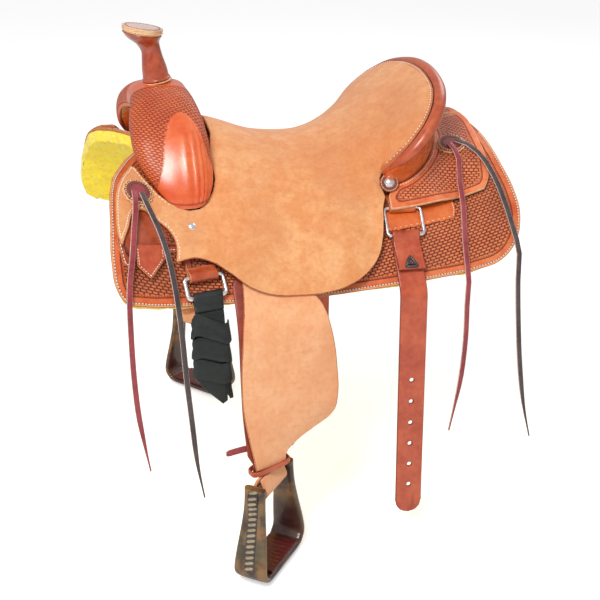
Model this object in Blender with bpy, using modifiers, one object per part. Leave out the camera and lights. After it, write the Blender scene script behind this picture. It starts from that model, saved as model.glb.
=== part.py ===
"""Ranch saddle.

Front is -X, the near (left) side is -Y and up is +Z. The origin lies on the centre line, at the
crown of the fleece, where a horse's back or a saddle rack carries the saddle.

Most pieces are leather, cut flat and then laid over one barrel-shaped form. A place on the form is
(x, s, h): x along the saddle, s the length of leather down from the ridge, and h the height above
the skirt leather. Layers that lie on each other share the form, so they nest.
"""
import math

import bmesh
import bpy
from mathutils import Matrix, Vector

# The barrel form
CROWN_HEIGHT = 0.025
WAIST_X = -0.05
WITHER_RISE = 0.89
LOIN_RISE = 0.27
BARREL_RADIUS = 0.27
FLANK_ANGLE = math.radians(56)

# Leather and fleece
CLEARANCE = 0.0005
SKIRT_LEATHER = 0.005
FLEECE_PILE = 0.019
RIGGING_LEATHER = 0.004
SEAT_LEATHER = 0.005
JOCKEY_LEATHER = 0.004
GROUND_SEAT_LEATHER = 0.004
COVER_LEATHER = 0.0035
FENDER_LEATHER = 0.0045
STIRRUP_LEATHER = 0.004
STRAP_LEATHER = 0.004

# Tree
BAR_THICKNESS = 0.016
BAR_INNER = 0.030
BAR_OUTER = 0.125
BAR_FRONT = -0.258
BAR_REAR = 0.262
CANTLE_SETBACK = 0.008
CANTLE_FOOT = 0.034
CANTLE_RIM_DROP = 0.0108
CANTLE_BACK_DROP = 0.0150
FORK_ANGLES = (-25, -10, 10, 30, 50, 70, 90, 110, 130, 150, 170, 190, 205)
GULLET_ANGLES = (218, 232, 250, 270, 290, 308, 322)

# Horn
HORN_X = -0.231
HORN_BASE_Z = 0.1545
HORN_LEAN = math.radians(8)
HORN_NECK_LENGTH = 0.0615
HORN_NECK_BASE_RADIUS = 0.0205
HORN_NECK_TOP_RADIUS = 0.0158
HORN_CAP_RADIUS = 0.0315
HORN_CAP_THICKNESS = 0.0095
HORN_CAP_TILT = math.radians(9.5)
HORN_CAP_OFFSET = -0.014
HORN_POST_RADIUS = 0.009
POST_GAP = 0.0004

# Rigging
FRONT_DEE_X = -0.2125
FRONT_DEE_BAR = 0.060
FRONT_DEE_ROD = 0.0035
FRONT_DEE_TOP = 0.278
FRONT_DEE_DROP = 0.031
REAR_DEE_X = 0.1175
REAR_DEE_BAR = 0.058
REAR_DEE_ROD = 0.003
REAR_DEE_TOP = 0.186
REAR_DEE_DROP = 0.047
DEE_CORNER = 0.006
RUNNING_GAP = 0.0005
RIGGING_GAP = 0.0009
FOLD_SWING = math.radians(40)
FOLD_BEND = 0.006
FRONT_DEE_HEIGHT = RIGGING_GAP + RIGGING_LEATHER + FRONT_DEE_ROD + RUNNING_GAP
REAR_DEE_HEIGHT = RIGGING_GAP + RIGGING_LEATHER + REAR_DEE_ROD + RUNNING_GAP
LATIGO_WIDTH = 0.045
BILLET_WIDTH = 0.043
LATIGO_PITCH = 0.033
LATIGO_START = 0.043
LATIGO_WRAP_LEATHER = 0.0058

# Fender and stirrup
FENDER_PIVOT_X = -0.120
FENDER_PIVOT_S = 0.270
FENDER_LIFT = 0.007
STIRRUP_LEATHER_X = -0.131
STIRRUP_LEATHER_WIDTH = 0.074
STIRRUP_TURN = math.radians(50)
STIRRUP_BOLT_T = 0.325
STIRRUP_HEIGHT = 0.149
STIRRUP_TOP_WIDTH = 0.084
STIRRUP_TREAD_WIDTH = 0.124
STIRRUP_TOP_DEPTH = 0.034
STIRRUP_TREAD_DEPTH = 0.056
STIRRUP_WALL = 0.012
STIRRUP_BOLT_RADIUS = 0.004
ROLLER_RADIUS = 0.009
HOBBLE_T = 0.2945
HOBBLE_TURN_SHARE = 0.35
HOBBLE_SET_OUT = 0.0072
HOBBLE_WIDTH = 0.017
HOBBLE_HALF = STIRRUP_LEATHER_WIDTH / 2 - 0.006
HOBBLE_DEPTH = 0.010
HOBBLE_WALL = 0.003
LOOP_HALF = 0.034
LOOP_WALL = 0.004
LOOP_WRAP = 24

# Strings and rosettes
STRING_WIDTH = 0.0085
STRING_THICKNESS = 0.0026
STRING_RINGS = 26
ROSETTE_RADIUS = 0.0240
ROSETTE_LEATHER = 0.004
CONCHO_RADIUS = 0.0155

GRID_X = 0.040
GRID_S = BARREL_RADIUS * FLANK_ANGLE / 10
NEAR = -1
FAR = 1
SIDES = (("near", NEAR), ("far", FAR))


def clear_scene():
    for old in list(bpy.data.objects):
        bpy.data.objects.remove(old, do_unlink=True)


def make_collection(name):
    collection = bpy.data.collections.new(name)
    bpy.context.scene.collection.children.link(collection)
    return collection


def make_material(name, colour, roughness, metallic=0.0):
    material = bpy.data.materials.new(name)
    material.use_nodes = True
    shader = material.node_tree.nodes["Principled BSDF"]
    shader.inputs["Base Color"].default_value = (*colour, 1.0)
    shader.inputs["Roughness"].default_value = roughness
    shader.inputs["Metallic"].default_value = metallic
    return material


clear_scene()
SADDLE = make_collection("ranch_saddle")
CUTTERS = make_collection("cutters")

ROUGH_OUT = make_material("rough_out_leather", (0.63, 0.32, 0.15), 0.9)
TOOLED = make_material("tooled_leather", (0.42, 0.10, 0.04), 0.45)
SADDLE_LEATHER = make_material("saddle_leather", (0.55, 0.15, 0.05), 0.4)
BURGUNDY = make_material("burgundy_leather", (0.23, 0.03, 0.04), 0.5)
BLACK = make_material("black_leather", (0.02, 0.02, 0.022), 0.5)
RAWHIDE = make_material("stirrup_leather", (0.09, 0.045, 0.02), 0.5)
FLEECE = make_material("fleece", (0.80, 0.55, 0.03), 0.95)
WOOD = make_material("tree_wood", (0.50, 0.36, 0.2), 0.7)
STEEL = make_material("steel", (0.7, 0.7, 0.72), 0.25, 1.0)
CREAM = make_material("cream_leather", (0.75, 0.6, 0.5), 0.6)


def crown(x):
    """Height of the form's ridge: lowest at the waist, rising to the withers and the loin."""
    reach = x - WAIST_X
    rise = WITHER_RISE if reach < 0 else LOIN_RISE
    return CROWN_HEIGHT + rise * reach * reach


def section(s, h):
    """Outward distance and height below the ridge of a point s down the form and h above it."""
    angle = min(abs(s) / BARREL_RADIUS, FLANK_ANGLE)
    straight = max(abs(s) - BARREL_RADIUS * FLANK_ANGLE, 0.0)
    out = (BARREL_RADIUS + h) * math.sin(angle) + straight * math.cos(angle)
    up = (BARREL_RADIUS + h) * math.cos(angle) - straight * math.sin(angle) - BARREL_RADIUS
    return out, up


def on_form(x, s, h, side=FAR):
    """World place of (x, s, h). A negative s lies on the other side of the ridge."""
    out, up = section(s, h)
    if s < 0:
        out = -out
    return Vector((x, side * out, crown(x) + up))


def crown_slope(x):
    reach = x - WAIST_X
    return 2 * (WITHER_RISE if reach < 0 else LOIN_RISE) * reach


def form_axes(x, s, side):
    """Level direction, direction down the form and outward normal at a place on it."""
    angle = min(abs(s) / BARREL_RADIUS, FLANK_ANGLE)
    out = Vector((-crown_slope(x) * math.cos(angle), side * math.sin(angle), math.cos(angle)))
    out.normalize()
    level = Vector((abs(out.y), -side * out.x, 0.0))
    level.normalize()
    down = level.cross(out) * -side
    return level, down, out


def smooth_step(value, low, high):
    t = min(max((value - low) / (high - low), 0.0), 1.0)
    return t * t * (3 - 2 * t)


def through(stations, t):
    """Smooth curve through (position, value) stations, with straight ends."""
    last = len(stations) - 2
    i = 0
    while i < last and t > stations[i + 1][0]:
        i += 1
    t0, a = stations[i]
    t1, b = stations[i + 1]
    before = stations[max(i - 1, 0)]
    after = stations[min(i + 2, len(stations) - 1)]
    slope_a = (b - before[1]) / (t1 - before[0]) if t1 != before[0] else 0.0
    slope_b = (after[1] - a) / (after[0] - t0) if after[0] != t0 else 0.0
    u = min(max((t - t0) / (t1 - t0), 0.0), 1.0)
    span = t1 - t0
    return (a * (2 * u**3 - 3 * u**2 + 1) + slope_a * span * (u**3 - 2 * u**2 + u)
            + b * (3 * u**2 - 2 * u**3) + slope_b * span * (u**3 - u**2))


# Heights of the seat leather's outer face, in millimetres: down from the ridge in each row,
# and from the front tab to the cantle's rim down the rows
SEAT_COLUMNS = (0.0, 0.04, 0.08, 0.11, 0.13, 0.15, 0.19, 0.24, 0.31)
SEAT_ROWS = (
    (-0.345, (11, 11, 11, 11, 11, 11, 11, 11, 11)),
    (-0.285, (14, 14, 13, 12, 11, 11, 11, 11, 13)),
    (-0.235, (55, 50, 36, 24, 17, 13, 12, 18, 23)),
    (-0.200, (60, 54, 42, 28, 20, 15.5, 13, 20, 23)),
    (-0.160, (60, 55, 45, 35, 29, 24, 19, 22, 24)),
    (-0.130, (56, 51, 42, 33, 30, 27, 23, 24, 24)),
    (-0.067, (37, 36, 34, 31, 29, 27, 24, 24, 24)),
    (0.000, (31, 30.5, 29.5, 28, 26.5, 25.5, 24, 24, 24)),
    (0.034, (37, 36.5, 35, 32, 28, 24.5, 21.5, 21, 21)),
    (0.060, (46, 46, 45, 40, 30, 23, 19, 18, 18)),
    (0.080, (55, 55, 56, 50, 30, 23, 22, 20, 17)),
    (0.094, (61, 62, 64, 60, 31, 23, 22, 20, 17)),
    (0.110, (69, 70, 74, 77, 68, 48, 17, 17, 17)),
    (0.126, (77, 79, 84, 89, 86.5, 72, 17, 17, 17)),
    (0.144, (87, 89, 95, 101.5, 99, 85, 17, 17, 17)),
    (0.161, (97, 100, 106, 110.5, 104, 90, 17, 17, 17)),
    (0.178, (106, 109, 115.5, 114, 106, 92, 17, 17, 17)),
    (0.199, (116.5, 117.5, 118.5, 117, 108, 94, 17, 17, 17)),
)
MM = 0.001

# The cantle's rim, where the seat leather ends: (x, s) from the middle to the near end
RIM = ((0.199, 0.0), (0.197, 0.036), (0.192, 0.064), (0.185, 0.082), (0.175, 0.099), (0.161, 0.1145),
       (0.144, 0.127), (0.126, 0.1350), (0.109, 0.1365), (0.096, 0.131))
RIM_SPAN = len(RIM) - 1


def seat_height(x, s):
    rows = [(row_x, through(list(zip(SEAT_COLUMNS, row)), min(abs(s), SEAT_COLUMNS[-1])))
            for row_x, row in SEAT_ROWS]
    return MM * through(rows, x)


def seat_slope(x, s):
    """Growth of the seat surface over the form: 1 where it runs along it, more where it climbs."""
    step = 0.004
    along = (seat_height(x + step, s) - seat_height(x - step, s)) / (2 * step)
    across = (seat_height(x, abs(s) + step) - seat_height(x, abs(s))) / step
    return min(math.sqrt(1 + along * along + across * across), 2.0)


def rim_at(u, offset=0.0):
    """Place on the rim as (x, s), u from 0 in the middle to 1 at its end, drawn outward by an offset."""
    t = abs(u) * RIM_SPAN
    xs = [(i, p[0]) for i, p in enumerate(RIM)]
    lengths = [(i, p[1]) for i, p in enumerate(RIM)]
    xs.insert(0, (-1, RIM[1][0]))
    lengths.insert(0, (-1, -RIM[1][1]))
    x = through(xs, t)
    s = through(lengths, t)
    dx = through(xs, t + 0.05) - through(xs, t - 0.05)
    ds = through(lengths, t + 0.05) - through(lengths, t - 0.05)
    run = math.hypot(dx, ds)
    if t > RIM_SPAN - 0.05:
        dx, ds = RIM[-1][0] - RIM[-2][0], RIM[-1][1] - RIM[-2][1]
        run = math.hypot(dx, ds)
    x += offset * ds / run
    s -= offset * dx / run
    return x, math.copysign(s, u)


def corner(x, s):
    return (x, s, "VECTOR")


def smooth_points(*points):
    return [(x, s, "AUTO") for x, s in points]


def outline_curve(name, loops, resolution=3):
    """Flat outline in the leather's own plane. Each loop is a list of (x, s, handle kind)."""
    curve = bpy.data.curves.new(name, "CURVE")
    curve.dimensions = "2D"
    curve.fill_mode = "BOTH"
    curve.resolution_u = resolution
    for loop in loops:
        spline = curve.splines.new("BEZIER")
        spline.use_cyclic_u = True
        spline.bezier_points.add(len(loop) - 1)
        for point, (x, s, kind) in zip(spline.bezier_points, loop):
            point.co = (x, s, 0.0)
            point.handle_left_type = kind
            point.handle_right_type = kind
    return curve


def flat_mesh(name, loops, cuts_x, cuts_s, resolution=3):
    """The outline as a flat mesh, cut into cells along lines of constant x and constant s."""
    guide = bpy.data.objects.new(name + "_outline", outline_curve(name, loops, resolution))
    CUTTERS.objects.link(guide)
    depsgraph = bpy.context.evaluated_depsgraph_get()
    mesh = bpy.data.meshes.new_from_object(guide.evaluated_get(depsgraph))
    bpy.data.objects.remove(guide, do_unlink=True)
    bm = bmesh.new()
    bm.from_mesh(mesh)
    bpy.data.meshes.remove(mesh)
    bmesh.ops.remove_doubles(bm, verts=bm.verts[:], dist=1e-5)
    for axis, cuts in ((Vector((1, 0, 0)), cuts_x), (Vector((0, 1, 0)), cuts_s)):
        for cut in cuts:
            geometry = bm.verts[:] + bm.edges[:] + bm.faces[:]
            bmesh.ops.bisect_plane(bm, geom=geometry, dist=1e-5, plane_co=axis * cut, plane_no=axis)
    cells = {}
    for face in bm.faces:
        middle = face.calc_center_median()
        cell = (sum(middle.x > cut for cut in cuts_x), sum(middle.y > cut for cut in cuts_s))
        cells.setdefault(cell, []).append(face)
    for faces in cells.values():
        if len(faces) > 1:
            bmesh.ops.dissolve_faces(bm, faces=faces)
    spare = [v for v in bm.verts if len(v.link_edges) == 2 and len(v.link_faces) == 2]
    bmesh.ops.dissolve_verts(bm, verts=spare)
    bmesh.ops.remove_doubles(bm, verts=bm.verts[:], dist=4e-5)
    return bm


def steps(low, high, size):
    """Cutting lines at whole multiples of a size, so that layers on the form are cut alike."""
    return [i * size for i in range(int(math.floor(low / size)), int(math.ceil(high / size)) + 1)
            if low + 0.0004 < i * size < high - 0.0004]


def finish_object(name, bm, material, angle=40, collection=None):
    mesh = bpy.data.meshes.new(name)
    bmesh.ops.recalc_face_normals(bm, faces=bm.faces[:])
    bm.to_mesh(mesh)
    bm.free()
    mesh.shade_smooth()
    mesh.set_sharp_from_angle(angle=math.radians(angle))
    mesh.materials.append(material)
    obj = bpy.data.objects.new(name, mesh)
    (collection or SADDLE).objects.link(obj)
    return obj


def laid_leather(name, loops, thickness, place, material, angle=40, resolution=3,
                 cuts_x=None, cuts_s=None, collection=None):
    """A flat outline given its thickness and bent by place(x, s, h), h from 0 to the thickness."""
    xs = [p[0] for loop in loops for p in loop]
    ss = [p[1] for loop in loops for p in loop]
    cuts_x = steps(min(xs), max(xs), GRID_X) if cuts_x is None else cuts_x
    cuts_s = steps(min(ss), min(max(ss), 10.1 * GRID_S), GRID_S) if cuts_s is None else cuts_s
    bm = flat_mesh(name, loops, cuts_x, cuts_s, resolution)
    bm.verts.index_update()
    flat = [(v, v.co.x, v.co.y) for v in bm.verts]
    faces = [[v.index for v in f.verts] for f in bm.faces]
    edges = [[v.index for v in e.verts] for e in bm.edges if len(e.link_faces) == 1]
    solid = bmesh.new()
    under = [solid.verts.new(place(x, s, 0.0)) for _, x, s in flat]
    over = [solid.verts.new(place(x, s, thickness)) for _, x, s in flat]
    for face in faces:
        solid.faces.new([over[i] for i in face])
        solid.faces.new([under[i] for i in reversed(face)])
    for a, b in edges:
        solid.faces.new([under[a], under[b], over[b], over[a]])
    bm.free()
    return finish_object(name, solid, material, angle, collection)


def at_height(height, side):
    """Lay leather on the form at one height."""
    return lambda x, s, h: on_form(x, s, height + h, side)


def lofted(name, rings, material, angle=40, closed=False, collection=None):
    """Faces between rings of equally many points, with flat ends."""
    bm = bmesh.new()
    rows = [[bm.verts.new(p) for p in ring] for ring in rings]
    count = len(rings[0])
    pairs = list(zip(rows, rows[1:])) + ([(rows[-1], rows[0])] if closed else [])
    for a, b in pairs:
        for i in range(count):
            j = (i + 1) % count
            bm.faces.new([a[i], a[j], b[j], b[i]])
    if not closed:
        bm.faces.new(rows[0])
        bm.faces.new(rows[-1])
    return finish_object(name, bm, material, angle, collection)


def sheet(name, rows, thickness, material, angle=40):
    """An open grid of points given a wall on its inner side."""
    bm = bmesh.new()
    grid = [[bm.verts.new(p) for p in row] for row in rows]
    for a, b in zip(grid, grid[1:]):
        for i in range(len(a) - 1):
            bm.faces.new([a[i], a[i + 1], b[i + 1], b[i]])
    mesh = bpy.data.meshes.new(name)
    bm.to_mesh(mesh)
    bm.free()
    mesh.shade_smooth()
    mesh.set_sharp_from_angle(angle=math.radians(angle))
    mesh.materials.append(material)
    obj = bpy.data.objects.new(name, mesh)
    SADDLE.objects.link(obj)
    wall = obj.modifiers.new("wall", "SOLIDIFY")
    wall.thickness = thickness
    wall.offset = -1
    return obj


def subtract(target, cutter):
    cutter.hide_render = True
    cutter.display_type = "WIRE"
    cut = target.modifiers.new("cut", "BOOLEAN")
    cut.operation = "DIFFERENCE"
    cut.object = cutter


def turned(name, profile, material, matrix, sides=24, angle=35):
    """A profile of (radius, height) points, top to bottom, turned about Z and put in place."""
    mesh = bpy.data.meshes.new(name)
    mesh.from_pydata([(r, 0.0, z) for r, z in profile],
                     [(i, i + 1) for i in range(len(profile) - 1)], [])
    mesh.materials.append(material)
    obj = bpy.data.objects.new(name, mesh)
    SADDLE.objects.link(obj)
    spin = obj.modifiers.new("turn", "SCREW")
    spin.axis = "Z"
    spin.steps = sides
    spin.render_steps = sides
    spin.use_merge_vertices = True
    spin.merge_threshold = 0.00005
    spin.use_smooth_shade = True
    obj.matrix_world = matrix
    return obj


def rod(name, points, radius, material, closed=False, resolution=2):
    """Bent round rod along a poly line."""
    curve = bpy.data.curves.new(name, "CURVE")
    curve.dimensions = "3D"
    curve.bevel_depth = radius
    curve.bevel_resolution = resolution
    curve.use_fill_caps = True
    spline = curve.splines.new("POLY")
    spline.points.add(len(points) - 1)
    spline.use_cyclic_u = closed
    for target, point in zip(spline.points, points):
        target.co = (*point, 1.0)
    curve.materials.append(material)
    obj = bpy.data.objects.new(name, curve)
    SADDLE.objects.link(obj)
    return obj


class Track:
    """A strap's side profile: straight and round stretches, in outward distance and height."""

    def __init__(self, start, heading, stretches):
        self.parts = []
        place = Vector(start)
        turn = math.radians(heading)
        for length, bend in stretches:
            bend = math.radians(bend)
            self.parts.append((place.copy(), turn, length, bend))
            place, turn = self.along(place, turn, length, bend, length)
        self.length = sum(part[2] for part in self.parts)

    @staticmethod
    def along(place, turn, length, bend, t):
        if bend == 0:
            return place + t * Vector((math.cos(turn), math.sin(turn))), turn
        radius = length / bend
        now = turn + bend * t / length
        centre = place + radius * Vector((-math.sin(turn), math.cos(turn)))
        return centre - radius * Vector((-math.sin(now), math.cos(now))), now

    def at(self, t):
        """Place and outer normal a length t along the track."""
        for place, turn, length, bend in self.parts:
            if t <= length or (place, turn) == self.parts[-1][:2]:
                point, now = self.along(place, turn, length, bend, t)
                return point, Vector((-math.sin(now), math.cos(now)))
            t -= length

    def cuts(self, arc_step=14, straight_step=1.0):
        """Lengths at which a strap on this track is cut across to bend well."""
        found = []
        begin = 0.0
        for _, _, length, bend in self.parts:
            if bend:
                count = max(int(math.ceil(abs(math.degrees(bend)) / arc_step)), 1)
            else:
                count = max(int(math.ceil(length / straight_step)), 1)
            found += [begin + length * i / count for i in range(count + 1)]
            begin += length
        return sorted(set(round(t, 6) for t in found))[1:-1]


def hole_loop(x, t, radius):
    return smooth_points((x + radius, t), (x, t - radius), (x - radius, t), (x, t + radius))


# Skirts and fleece

SKIRT_OUTLINE = (
    [corner(0.296, 0.003), corner(0.165, 0.003), corner(0.150, 0.028), corner(-0.262, 0.034)]
    + smooth_points((-0.281, 0.063), (-0.308, 0.114), (-0.327, 0.160), (-0.338, 0.242), (-0.342, 0.296),
                    (-0.338, 0.334), (-0.328, 0.346), (-0.300, 0.343), (-0.250, 0.330), (-0.158, 0.310),
                    (-0.003, 0.304), (0.142, 0.305), (0.230, 0.306), (0.262, 0.301), (0.290, 0.279),
                    (0.305, 0.240), (0.306, 0.197), (0.301, 0.144), (0.298, 0.060)))


def inset_outline(outline, amount):
    """The outline drawn in towards its middle."""
    middle_x = sum(p[0] for p in outline) / len(outline)
    middle_s = sum(p[1] for p in outline) / len(outline)
    drawn = []
    for x, s, kind in outline:
        away = Vector((x - middle_x, s - middle_s))
        away.normalize()
        drawn.append((x - away.x * amount, max(s - away.y * amount, 0.003), kind))
    return drawn


def build_skirts():
    fleece_outline = inset_outline(SKIRT_OUTLINE, 0.004)
    for word, side in SIDES:
        laid_leather("skirt_" + word, [SKIRT_OUTLINE], SKIRT_LEATHER,
                     at_height(-SKIRT_LEATHER, side), TOOLED)
        low = -SKIRT_LEATHER - 0.0004 - FLEECE_PILE
        laid_leather("fleece_" + word, [fleece_outline], FLEECE_PILE, at_height(low, side), FLEECE)


# Tree: bars, fork, cantle

def bar_outline():
    return ([corner(BAR_REAR - 0.04, BAR_INNER), corner(BAR_FRONT + 0.02, BAR_INNER)]
            + smooth_points((BAR_FRONT, 0.055), (BAR_FRONT + 0.004, 0.100), (-0.20, BAR_OUTER - 0.004))
            + smooth_points((-0.10, 0.115), (0.0, 0.112), (0.10, BAR_OUTER - 0.004),
                            (0.20, BAR_OUTER - 0.004), (BAR_REAR - 0.02, 0.100), (BAR_REAR, 0.06)))


def build_bars():
    for word, side in SIDES:
        laid_leather("tree_bar_" + word, [bar_outline()], BAR_THICKNESS, at_height(CLEARANCE, side),
                     WOOD)


# Fork: outer and inner side of the arch seen from the front, and its front and rear, from the top
# down to the foot
FORK_STATIONS = (
    (0.0, 0.1590, 0.0, 0.104, -0.276, -0.184),
    (0.045, 0.152, 0.032, 0.101, -0.281, -0.180),
    (0.084, 0.132, 0.058, 0.092, -0.287, -0.175),
    (0.114, 0.104, 0.077, 0.078, -0.288, -0.172),
    (0.137, 0.074, 0.092, 0.062, -0.284, -0.171),
    (0.154, 0.046, 0.108, 0.048, -0.273, -0.173),
    (0.165, 0.022, 0.128, 0.034, -0.256, -0.180),
    (0.169, 0.007, 0.150, 0.018, -0.236, -0.195),
)
FORK_SPAN = len(FORK_STATIONS) - 1
FORK_ROUNDNESS = 0.72


def fork_station(t):
    """Station values at t, from the top (0) to the foot (FORK_SPAN)."""
    values = []
    for column, sign in zip(zip(*FORK_STATIONS), (-1, 1, -1, 1, 1, 1)):
        stations = [(-1, sign * column[1])] + list(enumerate(column))
        values.append(through(stations, t))
    return values


def fork_ring(t, inset, side, angles):
    """Points round the fork's section at t. Angle 0 is the front and 90 degrees the outer side."""
    yo, zo, yi, zi, front, rear = fork_station(t)
    outward = Vector((yo - yi, zo - zi))
    half_wall = outward.length / 2 - inset
    outward.normalize()
    middle = Vector(((yo + yi) / 2, (zo + zi) / 2))
    half_length = (rear - front) / 2 - inset
    ring = []
    for angle in angles:
        u = math.radians(angle)
        p = -half_length * math.copysign(abs(math.cos(u)) ** FORK_ROUNDNESS, math.cos(u))
        q = half_wall * math.copysign(abs(math.sin(u)) ** FORK_ROUNDNESS, math.sin(u))
        place = middle + outward * q
        ring.append(Vector(((front + rear) / 2 + p, side * place.x, place.y)))
    return ring


def fork_stretch(last=FORK_SPAN, step=0.7):
    """Station values over the whole arch, near foot to far foot, with the side of each."""
    count = int(round(last / step))
    near = [(last * i / count, NEAR) for i in range(count, 0, -1)]
    far = [(last * i / count, FAR) for i in range(0, count + 1)]
    return near + far


def build_fork():
    seat_of_bars = form_block("fork_seat_cutter", 0.0, BAR_THICKNESS + 2 * CLEARANCE)
    tree_angles = FORK_ANGLES + GULLET_ANGLES
    rings = []
    for t, side in fork_stretch(5.6):
        inset = COVER_LEATHER + 0.0008 + 0.0045 * smooth_step(t, 3.2, 5.6)
        rings.append(fork_ring(t, inset, side, tree_angles))
    tree = lofted("fork_tree", rings, WOOD)
    subtract(tree, seat_of_bars)
    cut_post_bore(tree, 0.09, 0.018)
    rows = [fork_ring(t, 0.0, side, FORK_ANGLES) for t, side in fork_stretch()]
    cover = sheet("fork_cover", rows, COVER_LEATHER, TOOLED)
    subtract(cover, seat_of_bars)
    cut_post_bore(cover, 0.09, 0.018)
    rows = [fork_ring(t, 0.0, side, GULLET_ANGLES) for t, side in fork_stretch(4.9)]
    gullet = sheet("gullet_cover", rows, COVER_LEATHER, SADDLE_LEATHER)
    subtract(gullet, seat_of_bars)


def form_block(name, low, high):
    """A block of the form's shape, for cutting what stands on it."""
    edge = BAR_OUTER + 0.0015
    outline = [corner(0.31, -edge), corner(-0.345, -edge), corner(-0.345, edge), corner(0.31, edge)]
    depth = 0.05
    return laid_leather(name, [outline], high - low + depth, at_height(low - depth, FAR), WOOD,
                        collection=CUTTERS)


def horn_axis():
    """Direction of the horn's neck, leaning to the front."""
    return Vector((-math.sin(HORN_LEAN), 0.0, math.cos(HORN_LEAN)))


def cut_round(target, radius, depth, centre, axis, sides=20):
    """A round hole through a piece."""
    bpy.ops.mesh.primitive_cylinder_add(vertices=sides, radius=radius, depth=depth)
    cutter = bpy.context.active_object
    cutter.name = target.name + "_cutter"
    for collection in list(cutter.users_collection):
        collection.objects.unlink(cutter)
    CUTTERS.objects.link(cutter)
    turn = Vector((0, 0, 1)).rotation_difference(axis).to_matrix().to_4x4()
    cutter.matrix_world = Matrix.Translation(centre) @ turn
    subtract(target, cutter)


def cut_post_bore(target, depth, rise):
    """A hole for the horn's steel post, its middle so far up the horn's axis."""
    base = Vector((HORN_X, 0, HORN_BASE_Z))
    cut_round(target, HORN_POST_RADIUS + POST_GAP, depth, base + horn_axis() * rise, horn_axis())


def ring_about(centre, axis, radius, sides=28):
    """Circle of points about an axis in the X-Z plane."""
    across = Vector((axis.z, 0.0, -axis.x))
    return [centre + radius * (math.cos(u) * across + math.sin(u) * Vector((0, 1, 0)))
            for u in (2 * math.pi * i / sides for i in range(sides))]


def build_horn():
    base = Vector((HORN_X, 0, HORN_BASE_Z))
    axis = horn_axis()
    cap_axis = Vector((math.sin(HORN_CAP_TILT), 0.0, math.cos(HORN_CAP_TILT)))
    top = base + axis * HORN_NECK_LENGTH
    cap_base = top + Vector((HORN_CAP_OFFSET, 0, 0)) + cap_axis * 0.018
    foot = HORN_NECK_BASE_RADIUS
    rings = [(base + axis * rise, axis, foot + flare)
             for rise, flare in ((0.0062, 0.0010), (0.0076, 0.0016), (0.0092, 0.0014), (0.0108, 0.0))]
    for share, radius in ((0.35, 0.93), (0.7, 0.80), (1.0, 0.735)):
        rings.append((base + axis * (0.0108 + share * (HORN_NECK_LENGTH - 0.0188)), axis, foot * radius))
    rings.append((top + Vector((-0.003, 0, 0.002)), (axis * 0.6 + cap_axis * 0.4).normalized(),
                  HORN_NECK_TOP_RADIUS * 1.12))
    rings.append((top + Vector((-0.009, 0, 0.010)), (axis * 0.2 + cap_axis * 0.8).normalized(),
                  HORN_CAP_RADIUS * 0.80))
    rings.append((cap_base, cap_axis, HORN_CAP_RADIUS * 0.97))
    neck = lofted("horn_neck", [ring_about(*ring) for ring in rings], SADDLE_LEATHER)
    depth = HORN_NECK_LENGTH + 0.02
    cut_post_bore(neck, depth, HORN_NECK_LENGTH - 0.0115 - depth / 2)
    cap = Matrix.Translation(cap_base + cap_axis * 0.0003) @ Matrix.Rotation(HORN_CAP_TILT, 4, "Y")
    r = HORN_CAP_RADIUS
    t = HORN_CAP_THICKNESS
    turned("horn_cap", [(0, t), (r - 0.0035, t), (r - 0.0012, t - 0.0010), (r - 0.0002, t - 0.003),
                        (r - 0.0010, t * 0.56), (r, t * 0.40), (r - 0.0003, 0.0015), (r - 0.002, 0), (0, 0)],
           CREAM, cap, 32)
    post = Matrix.Translation(base - axis * 0.022) @ Matrix.Rotation(-HORN_LEAN, 4, "Y")
    length = HORN_NECK_LENGTH + 0.010
    turned("horn_post", [(0, length), (HORN_POST_RADIUS, length), (HORN_POST_RADIUS, 0), (0, 0)], STEEL,
           post, 20)


def rim_band(inner, outer, reach, count=11):
    """Outline of a band along the rim, between two offsets from it."""
    stations = [reach * (2 * i / (2 * count) - 1) for i in range(2 * count + 1)]
    front = [corner(*rim_at(u, inner)) for u in stations]
    rear = [corner(*rim_at(u, outer)) for u in reversed(stations)]
    return front + rear


def rim_offset(x, s):
    """How far a place lies outward of the rim, and the height of the rim nearest to it."""
    best = min((i / 60 for i in range(61)),
               key=lambda u: (rim_at(u)[0] - x) ** 2 + (rim_at(u)[1] - abs(s)) ** 2)
    edge_x, edge_s = rim_at(best)
    distance = math.hypot(x - edge_x, abs(s) - edge_s)
    beyond = math.hypot(x - 0.08, s) > math.hypot(edge_x - 0.08, edge_s)
    return (distance if beyond else -distance), seat_height(edge_x, edge_s)


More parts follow.
